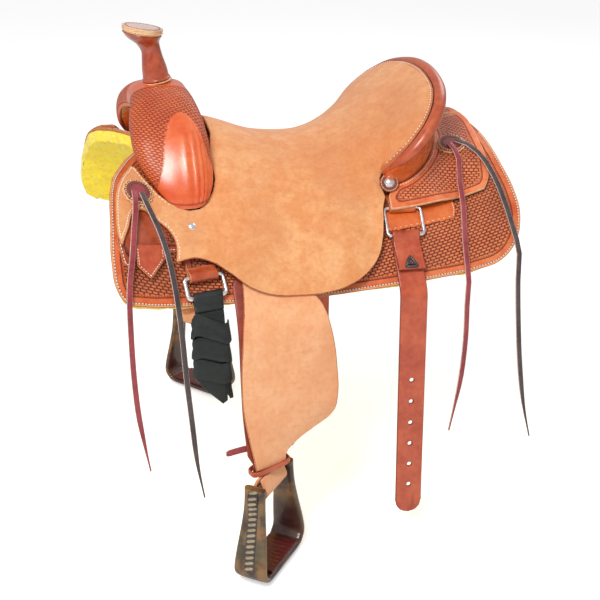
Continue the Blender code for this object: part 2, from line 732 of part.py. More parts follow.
def build_cantle():
    low = BAR_THICKNESS + 2 * CLEARANCE
    reach = 0.73

    def tree_place(x, s, h):
        offset, edge = rim_offset(x, s)
        under_seat = seat_height(x, s) - (SEAT_LEATHER + 0.0012) * seat_slope(x, s) - 0.0015
        top = edge - CANTLE_RIM_DROP if offset > -0.004 else min(under_seat, edge - CANTLE_RIM_DROP)
        return on_form(x, s, low + (max(top, low + 0.002) - low) * h, FAR)

    laid_leather("cantle_tree", [rim_band(-CANTLE_FOOT, CANTLE_SETBACK, reach)], 1.0, tree_place, WOOD,
                 cuts_x=steps(0.08, 0.22, GRID_X / 2), cuts_s=steps(-0.14, 0.14, GRID_S), resolution=1)

    def back_place(x, s, h):
        edge = rim_offset(x, s)[1] - CANTLE_BACK_DROP
        return on_form(x, s, low + (edge - low) * h, FAR)

    first = CANTLE_SETBACK + 0.0010
    band = rim_band(first, first + COVER_LEATHER, 0.765, 12)
    laid_leather("cantle_back", [band], 1.0, back_place, SADDLE_LEATHER,
                 resolution=1, angle=50)

    # The rolled rim's section: distance out from the rim and up from it, in millimetres
    profile = ((0.6, -3.2), (1.6, 1.0), (6.0, 4.0), (11.5, 5.0), (17.0, 3.2), (20.5, -1.5), (20.5, -7.5),
               (17.5, -11.5), (15.2, -12.2), (13.5, -6.8), (4.0, -6.6))
    rings = []
    count = 17
    for i in range(-count, count + 1):
        u = i / count
        x, s = rim_at(u)
        away_x, away_s = rim_at(u, 0.01)
        here = on_form(x, s, seat_height(x, s), FAR)
        away = on_form(away_x, away_s, seat_height(x, s), FAR) - here
        before = rim_at(max(u - 0.02, -1.0))
        after = rim_at(min(u + 0.02, 1.0))
        run = on_form(*after, seat_height(*after), FAR) - on_form(*before, seat_height(*before), FAR)
        run.normalize()
        away = (away - run * away.dot(run)).normalized()
        up = run.cross(away)
        up = up if up.z > 0 else -up
        size = MM * (1 - 0.62 * smooth_step(abs(u), 0.70, 1.0))
        rings.append([here + away * (b * size) + up * (c * size) for b, c in profile])
    lofted("cantle_roll", rings, SADDLE_LEATHER, angle=50)


def mirrored_loop(half):
    """Close a half outline, from the ridge's front to its rear, with its mirror image."""
    other = [(x, -s, kind) for x, s, kind in reversed(half) if s > 1e-6]
    return half + other


SEAT_HALF = (
    [corner(-0.160, 0.0), corner(-0.160, 0.045), corner(-0.167, 0.075), corner(-0.1705, 0.095),
     corner(-0.1690, 0.125), corner(-0.176, 0.143), corner(-0.188, 0.161), corner(-0.201, 0.173),
     corner(-0.216, 0.1785), corner(-0.232, 0.1780), corner(-0.247, 0.171), corner(-0.260, 0.161),
     corner(-0.270, 0.148), corner(-0.279, 0.135), corner(-0.286, 0.122)]
    + smooth_points((-0.292, 0.119), (-0.300, 0.130), (-0.312, 0.152), (-0.322, 0.178), (-0.328, 0.215),
                    (-0.329, 0.250))
    + [corner(-0.325, 0.266)]
    + smooth_points((-0.314, 0.239), (-0.290, 0.197), (-0.270, 0.207), (-0.252, 0.222), (-0.246, 0.240))
    + [corner(-0.249, 0.267)]
    + smooth_points((-0.232, 0.259), (-0.218, 0.255), (-0.194, 0.258), (-0.172, 0.270), (-0.144, 0.290),
                    (-0.115, 0.300), (-0.070, 0.303), (-0.030, 0.303), (0.006, 0.297), (0.040, 0.280),
                    (0.062, 0.258), (0.0715, 0.237), (0.0795, 0.207), (0.0835, 0.188))
    + [corner(0.0915, 0.170), corner(0.091, 0.158), corner(0.0905, 0.148), corner(0.091, 0.138)])


def build_seat():
    rim = [corner(*rim_at(1 - i / 14)) for i in range(15)]

    def place(x, s, h):
        outer = seat_height(x, s)
        return on_form(x, s, outer - (SEAT_LEATHER - h) * seat_slope(x, s), FAR)

    outline = mirrored_loop(SEAT_HALF + rim)
    laid_leather("seat", [outline], SEAT_LEATHER, place, ROUGH_OUT, angle=60,
                 cuts_x=steps(-0.33, 0.06, GRID_X) + steps(0.055, 0.198, GRID_X / 2),
                 cuts_s=steps(-0.27, 0.27, GRID_S))
    ground = [corner(0.055, 0.0), corner(0.052, 0.06), corner(0.045, 0.100), corner(-0.05, 0.098),
              corner(-0.13, 0.108), corner(-0.156, 0.08), corner(-0.156, 0.0)]
    low = BAR_THICKNESS + 2 * CLEARANCE
    laid_leather("ground_seat", [mirrored_loop(ground)], GROUND_SEAT_LEATHER, at_height(low, FAR),
                 SADDLE_LEATHER)


# Rear jockeys

def jockey_height(x, s):
    """Height of a rear jockey's under face: over the bars, the dee, and then near the skirt."""
    over_bar = 1 - smooth_step(abs(s), 0.130, 0.156)
    over_dee = 1 - smooth_step(x, 0.165, 0.225)
    side = 0.0060 + 0.0105 * over_dee
    return side + (BAR_THICKNESS + 0.0016 - side) * over_bar


def build_rear_jockeys():
    edge = CANTLE_SETBACK + COVER_LEATHER + 0.0026
    top = [corner(*rim_at(u, edge)) for u in (0.9, 0.8, 0.7, 0.6, 0.5, 0.4, 0.3, 0.2, 0.1, 0.02)]
    for word, side in SIDES:
        outline = ([corner(0.098, 0.168), corner(0.108, 0.158)] + top + [corner(0.278, 0.002)]
                   + smooth_points((0.278, 0.04), (0.273, 0.085), (0.271, 0.133), (0.268, 0.165))
                   + [corner(0.256, 0.184)]
                   + smooth_points((0.212, 0.189), (0.162, 0.192), (0.112, 0.192)) + [corner(0.096, 0.191)])

        def place(x, s, h, side=side):
            return on_form(x, s, jockey_height(x, s) + h, side)

        laid_leather("rear_jockey_" + word, [outline], JOCKEY_LEATHER, place, TOOLED)


# Rigging

def fold_run(radius, ply):
    """Straight length from a wrap round a bar to the bend that lays the leather on itself."""
    drop = (radius * (1 + math.cos(FOLD_SWING)) - FOLD_BEND * (1 - math.cos(FOLD_SWING))
            - ply - RUNNING_GAP)
    return drop / math.sin(FOLD_SWING)


def fold_track(start, dee_top, rod_radius, ply, tail):
    """Track of leather that runs down, folds round a dee's top bar and lies back on itself.

    It is kept as length down the form and height above it.
    """
    radius = rod_radius + RUNNING_GAP + ply / 2
    swing = math.degrees(FOLD_SWING)
    return Track((start, RIGGING_GAP + ply / 2), 0, [
        (dee_top - start, 0), (radius * (math.pi + FOLD_SWING), 180 + swing), (fold_run(radius, ply), 0),
        (FOLD_BEND * FOLD_SWING, -swing), (tail, 0)])


def folded_leather(name, outline, track, start, dee_x, dee_top, half, ply, material, side, cuts_x):
    """Leather that lies on the form and folds round a dee's level top bar."""
    base = on_form(dee_x, dee_top, 0.0, side)
    level, down, out = form_axes(dee_x, dee_top, side)

    def place(x, t, h):
        across = abs(x - dee_x)
        if across > half + 0.004:
            return on_form(x, t, RIGGING_GAP + h, side)
        point, normal = track.at(t - start)
        point = point + normal * (h - ply / 2)
        laid = on_form(x, point.x, point.y, side)
        bent = base + level * ((x - dee_x) / level.x) + down * (point.x - dee_top) + out * point.y
        return laid.lerp(bent, smooth_step(t, dee_top - 0.030, dee_top - 0.002))

    folds = [start + t for t in track.cuts(arc_step=24)]
    cuts_s = sorted(folds + steps(start, folds[0] - 0.004, GRID_S / 2))
    return laid_leather(name, [outline], ply, place, material, cuts_x=cuts_x, cuts_s=cuts_s)


def build_front_rigging():
    start = 0.142
    track = fold_track(start, FRONT_DEE_TOP, FRONT_DEE_ROD, RIGGING_LEATHER, 0.002)
    end = start + track.length - 0.0005
    half = FRONT_DEE_BAR / 2 - 0.0085
    left = FRONT_DEE_X - half
    right = FRONT_DEE_X + half
    outline = ([corner(-0.168, start)]
               + smooth_points((-0.225, start), (-0.270, 0.150), (-0.300, 0.170), (-0.322, 0.205),
                               (-0.330, 0.250), (-0.329, 0.270), (-0.320, 0.292))
               + smooth_points((-0.300, 0.274), (-0.268, 0.255))
               + [corner(left - 0.008, 0.247), corner(left, 0.256), corner(left, end), corner(right, end),
                  corner(right, 0.256), corner(-0.168, 0.235)])
    for word, side in SIDES:
        folded_leather("front_rigging_" + word, outline, track, start, FRONT_DEE_X, FRONT_DEE_TOP, half,
                       RIGGING_LEATHER, TOOLED, side, steps(-0.33, -0.17, GRID_X))


def build_rear_rigging():
    start = 0.146
    track = fold_track(start, REAR_DEE_TOP, REAR_DEE_ROD, RIGGING_LEATHER, 0.004)
    end = start + track.length - 0.0005
    half = REAR_DEE_BAR / 2 - 0.0085
    left = REAR_DEE_X - half
    right = REAR_DEE_X + half
    outline = [corner(left, start), corner(right, start), corner(right, end), corner(left, end)]
    for word, side in SIDES:
        folded_leather("rear_rigging_" + word, outline, track, start, REAR_DEE_X, REAR_DEE_TOP, half,
                       RIGGING_LEATHER, SADDLE_LEATHER, side, [])


def build_latigo_keeper():
    """Folded keeper on the near front rigging, its outer ply cut to a point."""
    ply = 0.0028
    fold = 0.252
    slant = -0.28
    left = -0.306
    right = -0.264
    middle = (left + right) / 2
    radius = ply / 2 + 0.0002
    under = 0.010
    base = RIGGING_GAP + RIGGING_LEATHER + CLEARANCE + ply / 2
    track = Track((fold + under, base), 180, [(under, 0), (radius * math.pi, -180), (0.050, 0)])
    turn = under + radius * math.pi
    outline = [corner(left, 0.0), corner(right, 0.0), corner(right, turn + 0.018),
               corner(left + 0.018, turn + 0.048), corner(left, turn + 0.030)]

    def place(x, t, h):
        point, normal = track.at(t)
        point = point + normal * (ply / 2 - h)
        return on_form(x, point.x + slant * (x - middle), point.y, NEAR)

    laid_leather("latigo_keeper", [outline], ply, place, SADDLE_LEATHER,
                 cuts_x=[middle], cuts_s=track.cuts(arc_step=30, straight_step=0.02))


def dee_frame(x, s, drop, height, side):
    """Centre of a dee's top bar, the level direction along it, and down and out from the form."""
    level, down, out = form_axes(x, s + drop / 2, side)
    centre = on_form(x, s, 0.0, side) + form_axes(x, s, side)[2] * height
    return centre, level, down, out


def dee_points(frame, bar, drop):
    """Centre line of a dee: a straight top bar, round lower corners and a straight lower bar."""
    centre, level, down, _ = frame
    half = bar / 2
    points = []
    radius = DEE_CORNER
    for index, (across, depth) in enumerate(((-half, 0.0), (half, 0.0), (half, drop), (-half, drop))):
        middle_a = across - math.copysign(radius, across)
        middle_d = depth + (radius if depth == 0 else -radius)
        start = (180, 270, 0, 90)[index]
        for step in range(5):
            u = math.radians(start + 90 * step / 4)
            points.append(centre + level * (middle_a + radius * math.cos(u))
                          + down * (middle_d + radius * math.sin(u)))
    return points


FRONT_DEE = (FRONT_DEE_X, FRONT_DEE_TOP, FRONT_DEE_DROP, FRONT_DEE_HEIGHT)
REAR_DEE = (REAR_DEE_X, REAR_DEE_TOP, REAR_DEE_DROP, REAR_DEE_HEIGHT)


def build_dees():
    for word, side in SIDES:
        rod("front_dee_" + word, dee_points(dee_frame(*FRONT_DEE, side), FRONT_DEE_BAR, FRONT_DEE_DROP),
            FRONT_DEE_ROD, STEEL, True)
        rod("rear_dee_" + word, dee_points(dee_frame(*REAR_DEE, side), REAR_DEE_BAR, REAR_DEE_DROP),
            REAR_DEE_ROD, STEEL, True)


def hung_strap(name, dee, rod_radius, plies, width, tip, material, side, shift=0.0, holes=(0, 0, 0)):
    """A strap doubled over a dee's lower bar, its inner run going on down the flank and hanging.

    plies holds the lengths of the doubled end, of the run on the flank and of the free run. holes
    holds the number of holes, the distance of the last one from the tip, and their spacing.
    """
    centre, level, down, out = dee_frame(*dee, side)
    x, s, drop, _ = dee
    doubled, along, free = plies
    bar = centre + down * drop
    away = Vector((out.x, out.y, 0.0)).normalized()
    away -= level * (away.x / level.x)
    lean = math.acos(form_axes(x, s + drop, side)[2].z) - math.radians(1.7)
    round_run = max(BARREL_RADIUS * FLANK_ANGLE - s - drop, 0.0001)
    round_turn = math.degrees(round_run / BARREL_RADIUS)
    radius = rod_radius + RUNNING_GAP + STRAP_LEATHER / 2
    run = fold_run(radius, STRAP_LEATHER)
    swing = math.degrees(FOLD_SWING)
    below = (radius + FOLD_BEND) * math.sin(FOLD_SWING) + run * math.cos(FOLD_SWING) + doubled
    above = -radius + STRAP_LEATHER + RUNNING_GAP
    start = (above * math.sin(lean) + below * math.cos(lean),
             above * math.cos(lean) - below * math.sin(lean))
    upright = 88 - math.degrees(lean) - round_turn
    track = Track(start, 180 - math.degrees(lean), [
        (doubled, 0), (FOLD_BEND * FOLD_SWING, -swing), (run, 0),
        (radius * (math.pi + FOLD_SWING), 180 + swing), (round_run, -round_turn),
        (along - round_run, 0), (0.040 * math.radians(upright), -upright), (free, 0)])
    length = track.length - 0.0005
    half = width / 2
    outline = [corner(-half, 0.0), corner(half, 0.0), corner(half, length - tip),
               *smooth_points((half * 0.82, length - tip * 0.42), (half * 0.35, length - tip * 0.06),
                              (-half * 0.35, length - tip * 0.06), (-half * 0.82, length - tip * 0.42)),
               corner(-half, length - tip)]
    count, last, spacing = holes
    punched = [length - last - spacing * i for i in range(count)]

    def place(across, t, h):
        point, normal = track.at(t)
        point = point + normal * (h - STRAP_LEATHER / 2)
        return bar + level * (across + shift) + away * point.x + Vector((0, 0, point.y))

    laid_leather(name, [outline] + [hole_loop(0.0, t, 0.0035) for t in punched], STRAP_LEATHER, place,
                 material, angle=30, cuts_x=[0.0] if punched else [], cuts_s=sorted(track.cuts() + punched))
    return bar, level, away, track, sum(part[2] for part in track.parts[:4])


def build_billets():
    for word, side in SIDES:
        hung_strap("rear_billet_" + word, REAR_DEE, REAR_DEE_ROD, (0.045, 0.077, 0.380), BILLET_WIDTH, 0.022,
                   SADDLE_LEATHER, side, -0.002, (6, 0.052, 0.038))


def build_latigo():
    """The latigo hangs doubled on the near dee, its long end wound round it in a bundle."""
    bar, level, away, track, inner = hung_strap(
        "latigo", FRONT_DEE, FRONT_DEE_ROD, (0.008, 0.021, 0.130), LATIGO_WIDTH, 0.030, BLACK, NEAR)
    half = LATIGO_WIDTH / 2 + 0.0034
    deep = STRAP_LEATHER / 2 + 0.0006
    turns = 3.0
    count = 54
    rings = []
    for i in range(count + 1):
        u = 2 * math.pi * turns * i / count
        a = math.copysign(abs(math.cos(u)) ** 0.4, math.cos(u))
        b = math.copysign(abs(math.sin(u)) ** 0.4, math.sin(u))
        t = inner + LATIGO_START + LATIGO_PITCH * u / (2 * math.pi)
        point, normal = track.at(t)
        run = away * normal.y - Vector((0, 0, normal.x))
        out = away * normal.x + Vector((0, 0, normal.y))
        middle = bar + away * point.x + Vector((0, 0, point.y))
        thick = (level * a * 0.5 + out * b).normalized() * LATIGO_WRAP_LEATHER
        place = middle + level * (half * a) + out * (deep * b)
        broad = run * (LATIGO_PITCH * 0.43)
        rings.append([place - broad, place - broad + thick, place + broad + thick, place + broad])
    lofted("latigo_wrap", rings, BLACK, angle=50)


# Fender, stirrup leather and stirrup

def hang_track():
    """Side profile of the fender: down the flank, then bending towards the vertical."""
    out, up = section(FENDER_PIVOT_S, FENDER_LIFT)
    flank = math.degrees(FLANK_ANGLE)
    angle = math.radians(flank)
    tail = 0.030
    start = Vector((out - tail * math.cos(angle), crown(FENDER_PIVOT_X) + up + tail * math.sin(angle)))
    bend = 84 - flank
    return Track(start, -flank, [(tail + 0.045, 0), (0.12 * math.radians(bend), -bend), (0.5, 0)])


HANG = hang_track()
FENDER_TOP = 0.030


def hobble_turn(side):
    """The leathers are turned part of the way to the stirrup where the hobble strap holds them."""
    return STIRRUP_TURN * HOBBLE_TURN_SHARE * -side


def hang_place(side, low):
    """Lay leather on the hanging track. Its length is counted from the fender's pivot."""
    def place(x, t, h):
        point, normal = HANG.at(t + FENDER_TOP)
        share = smooth_step(t, 0.19, HOBBLE_T - HOBBLE_WIDTH / 2)
        turn = hobble_turn(side) * share
        across = x - STIRRUP_LEATHER_X
        deep = side * normal.x * (low + h)
        centre = side * (point.x + HOBBLE_SET_OUT * share)
        return Vector((STIRRUP_LEATHER_X + across * math.cos(turn) - deep * math.sin(turn),
                       centre + across * math.sin(turn) + deep * math.cos(turn),
                       point.y + normal.y * (low + h)))
    return place


def build_fenders():
    x = STIRRUP_LEATHER_X
    fender = ([corner(x - 0.022, -0.024), corner(x + 0.036, -0.024), corner(x + 0.054, 0.010)]
              + smooth_points((-0.040, 0.045), (-0.026, 0.090), (-0.019, 0.150), (-0.019, 0.195),
                              (-0.027, 0.228), (-0.054, 0.248), (-0.084, 0.264))
              + [corner(-0.108, 0.280), corner(-0.159, 0.284)]
              + smooth_points((-0.165, 0.240), (-0.168, 0.160), (-0.163, 0.090), (-0.155, 0.030)))
    half = STIRRUP_LEATHER_WIDTH / 2
    held = HOBBLE_HALF - 0.0018
    neck = HOBBLE_T - HOBBLE_WIDTH / 2 - 0.001
    end = HOBBLE_T + HOBBLE_WIDTH / 2 - 0.001
    cuts = sorted([t - FENDER_TOP for t in HANG.cuts(arc_step=7)] + steps(0.19, 0.28, 0.012) + [neck])
    cuts_x = steps(-0.17, -0.02, GRID_X / 2) + [x - half + 0.005, x + held]
    for word, side in SIDES:
        leather = [corner(x - half, 0.012), corner(x - half + 0.018, -0.029),
                   corner(x + half - 0.010, -0.029), corner(x + half, 0.030), corner(x + held, neck), corner(x + held, end), corner(x - held, end),
                   corner(x - held, neck), corner(x - half, 0.270)]
        laid_leather("stirrup_leather_" + word, [leather], STIRRUP_LEATHER, hang_place(side, 0.0),
                     SADDLE_LEATHER, cuts_x=cuts_x, cuts_s=cuts)
        laid_leather("fender_" + word, [fender], FENDER_LEATHER,
                     hang_place(side, STIRRUP_LEATHER + 0.0010), ROUGH_OUT,
                     cuts_x=cuts_x, cuts_s=cuts)
        hobble(word, side)


def stirrup_frame(side):
    """Axes at the stirrup's bolt: along the bolt, across it and up, with the bolt's centre."""
    point, _ = HANG.at(STIRRUP_BOLT_T + FENDER_TOP)
    centre = Vector((STIRRUP_LEATHER_X, side * point.x, point.y))
    centre.y += side * 0.006
    turn = STIRRUP_TURN * (-side)
    along = Vector((math.cos(turn), math.sin(turn), 0.0))
    across = Vector((-math.sin(turn), math.cos(turn), 0.0))
    return centre, along, across, Vector((0, 0, 1))


def hobble(word, side):
    """The hobble strap: a belt round both plies of the stirrup leather, with a free tail."""
    centre, along, across, up = stirrup_frame(side)
    half = HOBBLE_HALF
    z = HANG.at(HOBBLE_T + FENDER_TOP)[0].y
    middle = Vector((centre.x, centre.y, z))
    outer = []
    inner = []
    for index in range(24):
        u = 2 * math.pi * index / 24
        a = math.copysign(abs(math.cos(u)) ** 0.5, math.cos(u))
        b = math.copysign(abs(math.sin(u)) ** 0.5, math.sin(u))
        outer.append((a * (half + HOBBLE_WALL), b * (HOBBLE_DEPTH + HOBBLE_WALL)))
        inner.append((a * half, b * HOBBLE_DEPTH))
    rings = []
    turn = hobble_turn(side)
    ax = Vector((math.cos(turn), math.sin(turn), 0.0))
    ay = Vector((-math.sin(turn), math.cos(turn), 0.0))
    for loop, rise in ((outer, -0.5), (outer, 0.5), (inner, 0.5), (inner, -0.5)):
        rings.append([middle + ax * a + ay * b + up * (rise * HOBBLE_WIDTH) for a, b in loop])
    lofted("hobble_strap_" + word, rings, SADDLE_LEATHER, closed=True)


def build_stirrup(word, side):
    centre, along, across, up = stirrup_frame(side)
    frame_rings = []
    top_half = STIRRUP_TOP_WIDTH / 2
    low_half = STIRRUP_TREAD_WIDTH / 2
    drop = STIRRUP_HEIGHT - 0.014
    path = [(-top_half, 0.016), (-top_half - 0.001, 0.0), (-top_half - 0.004, -0.030),
            (-top_half - 0.010, -0.065), (-low_half + 0.003, -0.100), (-low_half, -0.122),
            (-low_half + 0.006, -drop + 0.004), (-low_half + 0.016, -drop), (0.0, -drop)]
    path += [(-a, z) for a, z in reversed(path[:-1])]
    for index, (a, z) in enumerate(path):
        before = Vector(path[max(index - 1, 0)])
        after = Vector(path[min(index + 1, len(path) - 1)])
        run = (after - before).normalized()
        outward = Vector((run.y, -run.x))
        if index == len(path) // 2:
            outward = Vector((0, -1))
        wall = STIRRUP_WALL
        share = smooth_step(-z, 0.0, drop)
        half_depth = (STIRRUP_TOP_DEPTH + (STIRRUP_TREAD_DEPTH - STIRRUP_TOP_DEPTH) * share) / 2
        ring = []
        for wall_share, depth_share in ((0, -0.86), (0.2, -1), (0.8, -1), (1, -0.86), (1, 0.86), (0.8, 1),
                                        (0.2, 1), (0, 0.86)):
            spot = Vector((a, z)) + outward * wall * wall_share
            ring.append(centre + along * spot.x + up * spot.y + across * (half_depth * depth_share))
        frame_rings.append(ring)
    frame = lofted("stirrup_" + word, frame_rings, RAWHIDE, angle=50)
    length = STIRRUP_TOP_WIDTH + 2 * STIRRUP_WALL + 0.006
    turn = Vector((0, 0, 1)).rotation_difference(along).to_matrix().to_4x4()
    place = Matrix.Translation(centre - along * (length / 2)) @ turn
    cut_round(frame, STIRRUP_BOLT_RADIUS + RUNNING_GAP, length + 0.02, centre, along, 16)
    r = STIRRUP_BOLT_RADIUS
    sleeve = STIRRUP_TOP_WIDTH - 0.003
    end = (length - sleeve) / 2
    profile = [(0, length), (r, length), (r, length - end), (ROLLER_RADIUS, length - end),
               (ROLLER_RADIUS, end), (r, end), (r, 0), (0, 0)]
    turned("stirrup_bolt_" + word, profile, STEEL, place, 16)
    tread_rings = []
    tread_half = low_half - 0.019
    for a in (-tread_half, tread_half):
        ring = []
        for depth_share, rise in ((-0.88, 0.0), (0.88, 0.0), (0.88, 0.003), (-0.88, 0.003)):
            ring.append(centre + along * a + across * (STIRRUP_TREAD_DEPTH / 2 * depth_share)
                        + up * (-drop + 0.0004 + rise))
        tread_rings.append(ring)
    lofted("stirrup_tread_" + word, tread_rings, BURGUNDY)
    leather_loop(word, side, centre, along, across, up)


def leather_loop(word, side, centre, along, across, up):
    """The stirrup leather's loop: down, round the roller and up again, seen along the bolt."""
    inner = ROLLER_RADIUS + RUNNING_GAP
    outer = inner + LOOP_WALL
    rise = HANG.at(HOBBLE_T + FENDER_TOP)[0].y - HOBBLE_WIDTH / 2 - RUNNING_GAP - centre.z
    low, high, count = 180 - LOOP_WRAP, 360 + LOOP_WRAP, 14
    angles = [math.radians(low + (high - low) * i / count) for i in range(count + 1)]
    arc_out = [(outer * math.cos(u), outer * math.sin(u)) for u in angles]
    arc_in = [(inner * math.cos(u), inner * math.sin(u)) for u in reversed(angles)]
    pinch = 0.0010
    profile = ([(-LOOP_WALL - pinch, rise)] + arc_out + [(LOOP_WALL + pinch, rise), (pinch, rise)]
               + arc_in + [(-pinch, rise)])
    rings = []
    for a in (-LOOP_HALF, LOOP_HALF):
        rings.append([centre + along * a + across * b + up * c for b, c in profile])
    lofted("stirrup_loop_" + word, rings, SADDLE_LEATHER)


# Rosettes, conchos and strings

def standing_on_form(x, s, h, side):
    """Matrix of a turned piece that stands square on the form."""
    turn = Vector((0, 0, 1)).rotation_difference(form_axes(x, s, side)[2]).to_matrix().to_4x4()
    return Matrix.Translation(on_form(x, s, h, side)) @ turn


FRONT_ROSETTE = (-0.291, 0.171)
REAR_ROSETTE = (0.225, 0.095)
CONCHO_PLACE = (0.1080, 0.1515)
CONCHO_HEIGHT = 0.0213


def build_rosettes():
    profile = [(0, ROSETTE_LEATHER), (ROSETTE_RADIUS, ROSETTE_LEATHER), (ROSETTE_RADIUS, 0), (0, 0)]
    front = seat_height(*FRONT_ROSETTE) + 0.0012
    rear = jockey_height(*REAR_ROSETTE) + JOCKEY_LEATHER + 0.0007
    for word, side in SIDES:
        turned("front_rosette_" + word, profile, BURGUNDY, standing_on_form(*FRONT_ROSETTE, front, side))
        turned("rear_rosette_" + word, profile, BURGUNDY, standing_on_form(*REAR_ROSETTE, rear, side))


STRINGS = {
    "front_string_red": [(-0.2965, 0.174, 0.0184), (-0.298, 0.199, 0.0198), (-0.305, 0.235, 0.0160),
                         (-0.312, 0.275, 0.0150), (-0.320, 0.315, 0.010), (-0.324, 0.345, 0.008)],
    "front_string_black": [(-0.2855, 0.173, 0.0181), (-0.279, 0.196, 0.0190), (-0.270, 0.222, 0.0200),
                           (-0.262, 0.255, 0.0205), (-0.257, 0.290, 0.0150), (-0.254, 0.325, 0.006)],
    "rear_string_red": [(0.2200, 0.097, 0.0288), (0.224, 0.128, 0.0293), (0.216, 0.165, 0.0195),
                        (0.212, 0.205, 0.0145), (0.206, 0.250, 0.008), (0.202, 0.300, 0.007),
                        (0.2015, 0.316, 0.007)],
    "rear_string_black": [(0.2310, 0.094, 0.0288), (0.246, 0.108, 0.0285), (0.262, 0.135, 0.0240),
                          (0.274, 0.175, 0.015), (0.281, 0.220, 0.009), (0.286, 0.265, 0.007),
                          (0.2885, 0.296, 0.007)],
}
# Free ends, as x and z with the outward distance held
STRING_ENDS = {
    "front_string_red": [(-0.325, -0.140), (-0.325, -0.200), (-0.322, -0.270), (-0.315, -0.330),
                         (-0.309, -0.372)],
    "front_string_black": [(-0.250, -0.150), (-0.246, -0.230), (-0.241, -0.300), (-0.235, -0.380),
                           (-0.226, -0.442)],
    "rear_string_red": [(0.201, -0.160), (0.202, -0.220), (0.198, -0.290), (0.190, -0.340), (0.182, -0.385)],
    "rear_string_black": [(0.290, -0.130), (0.296, -0.200), (0.305, -0.280), (0.318, -0.360),
                          (0.334, -0.425)],
}
FAR_DRIFT = {"front_string_red": 0.045, "front_string_black": 0.0, "rear_string_red": -0.010,
             "rear_string_black": -0.040}
FAR_LIFT = 0.35


def string_route(name, side):
    """Route of a saddle string, as places and outward directions: down the leather, then free.

    The far strings hang further in under the saddle, and a little higher.
    """
    drift, lift = (FAR_DRIFT[name], FAR_LIFT) if side == FAR else (0.0, 0.0)
    laid = STRINGS[name]
    last = len(laid) - 1
    route = [on_form(x + drift * (i / last) ** 2, s, h, side) for i, (x, s, h) in enumerate(laid)]
    outward = [form_axes(x, s, side)[2] for x, s, _ in laid]
    out = abs(route[-1].y) + 0.0008
    for x, z in STRING_ENDS[name]:
        route.append(Vector((x + drift, side * out, z + lift * (route[last].z - z))))
        outward.append(Vector((0, side, 0)))
        out += 0.0004
    return route, outward


def spread(route, values, count):
    """Values given at a route's points, read at evenly spaced places on a smooth curve."""
    lengths = [0.0]
    for a, b in zip(route, route[1:]):
        lengths.append(lengths[-1] + (b - a).length)
    axes = [[(length, value[axis]) for length, value in zip(lengths, values)] for axis in range(3)]
    stops = [lengths[-1] * i / (count - 1) for i in range(count)]
    return [Vector([through(stations, stop) for stations in axes]) for stop in stops]


def build_string(name, word, side, material):
    route, outwards = string_route(name, side)
    points = spread(route, route, STRING_RINGS)
    facing = spread(route, outwards, STRING_RINGS)
    rings = []
    for index, point in enumerate(points):
        before = points[max(index - 1, 0)]
        after = points[min(index + 1, len(points) - 1)]
        run = (after - before).normalized()
        across = run.cross(facing[index]).normalized()
        taper = 1 - 0.72 * smooth_step(index, 0.75 * STRING_RINGS, STRING_RINGS - 1)
        half = across * (STRING_WIDTH / 2 * taper)
        deep = across.cross(run).normalized() * (STRING_THICKNESS / 2)
        rings.append([point - half - deep, point + half - deep, point + half + deep, point - half + deep])
    lofted(name + "_" + word, rings, material, angle=60)


def build_strings():
    for word, side in SIDES:
        build_string("front_string_red", word, side, BURGUNDY)
        build_string("front_string_black", word, side, BLACK)
        build_string("rear_string_red", word, side, BURGUNDY)
        build_string("rear_string_black", word, side, BLACK)


def build_conchos():
    """Leather rosette and domed metal concho at each end of the cantle, held by one screw."""
    r = CONCHO_RADIUS
    profile = [(0, 0.0080), (0.003, 0.0076), (0.0062, 0.0062), (0.0064, 0.0040), (r - 0.001, 0.0036),
               (r, 0.0028), (r, 0), (0, 0)]
    for word, side in SIDES:
        matrix = standing_on_form(*CONCHO_PLACE, CONCHO_HEIGHT, side)
        turned("cantle_concho_" + word, profile, STEEL, matrix, 20)


build_skirts()
build_bars()
build_fork()
build_horn()
build_cantle()
build_seat()
build_rear_jockeys()
build_front_rigging()
build_rear_rigging()
build_latigo_keeper()
build_dees()
build_billets()
build_latigo()
build_fenders()
for side_word, side_sign in SIDES:
    build_stirrup(side_word, side_sign)
build_rosettes()
build_conchos()
build_strings()
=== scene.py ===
"""Looks of the ranch saddle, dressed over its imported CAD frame.

Front is -X, the near (left) side is -Y and up is +Z. Leather is cut flat and laid on one
barrel-shaped form, as the frame's own solids are. A place on the form is (x, s, h): x along the
saddle, s the length of leather down from the ridge, and h the height above the skirt leather.
"""

import math

import bmesh
import bpy
import numpy as np
from mathutils import Matrix, Vector, noise


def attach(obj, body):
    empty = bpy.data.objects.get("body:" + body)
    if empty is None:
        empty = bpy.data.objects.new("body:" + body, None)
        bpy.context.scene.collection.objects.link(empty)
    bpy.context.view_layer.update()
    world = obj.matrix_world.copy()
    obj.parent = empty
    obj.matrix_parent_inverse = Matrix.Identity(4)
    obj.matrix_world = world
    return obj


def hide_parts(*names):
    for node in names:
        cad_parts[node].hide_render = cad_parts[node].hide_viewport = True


# Without a seed of its own the noise differs from run to run
noise.seed_set(5)
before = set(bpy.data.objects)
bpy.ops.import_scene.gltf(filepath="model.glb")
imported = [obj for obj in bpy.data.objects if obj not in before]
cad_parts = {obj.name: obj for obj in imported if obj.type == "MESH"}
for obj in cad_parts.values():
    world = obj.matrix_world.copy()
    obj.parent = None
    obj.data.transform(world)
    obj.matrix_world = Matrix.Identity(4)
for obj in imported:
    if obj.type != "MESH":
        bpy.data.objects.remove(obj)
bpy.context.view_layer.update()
bpy.ops.object.select_all(action="DESELECT")

NEAR = -1
FAR = 1
SIDES = (("near", NEAR), ("far", FAR))
MM = 0.001

# The camera stands where the photograph was taken

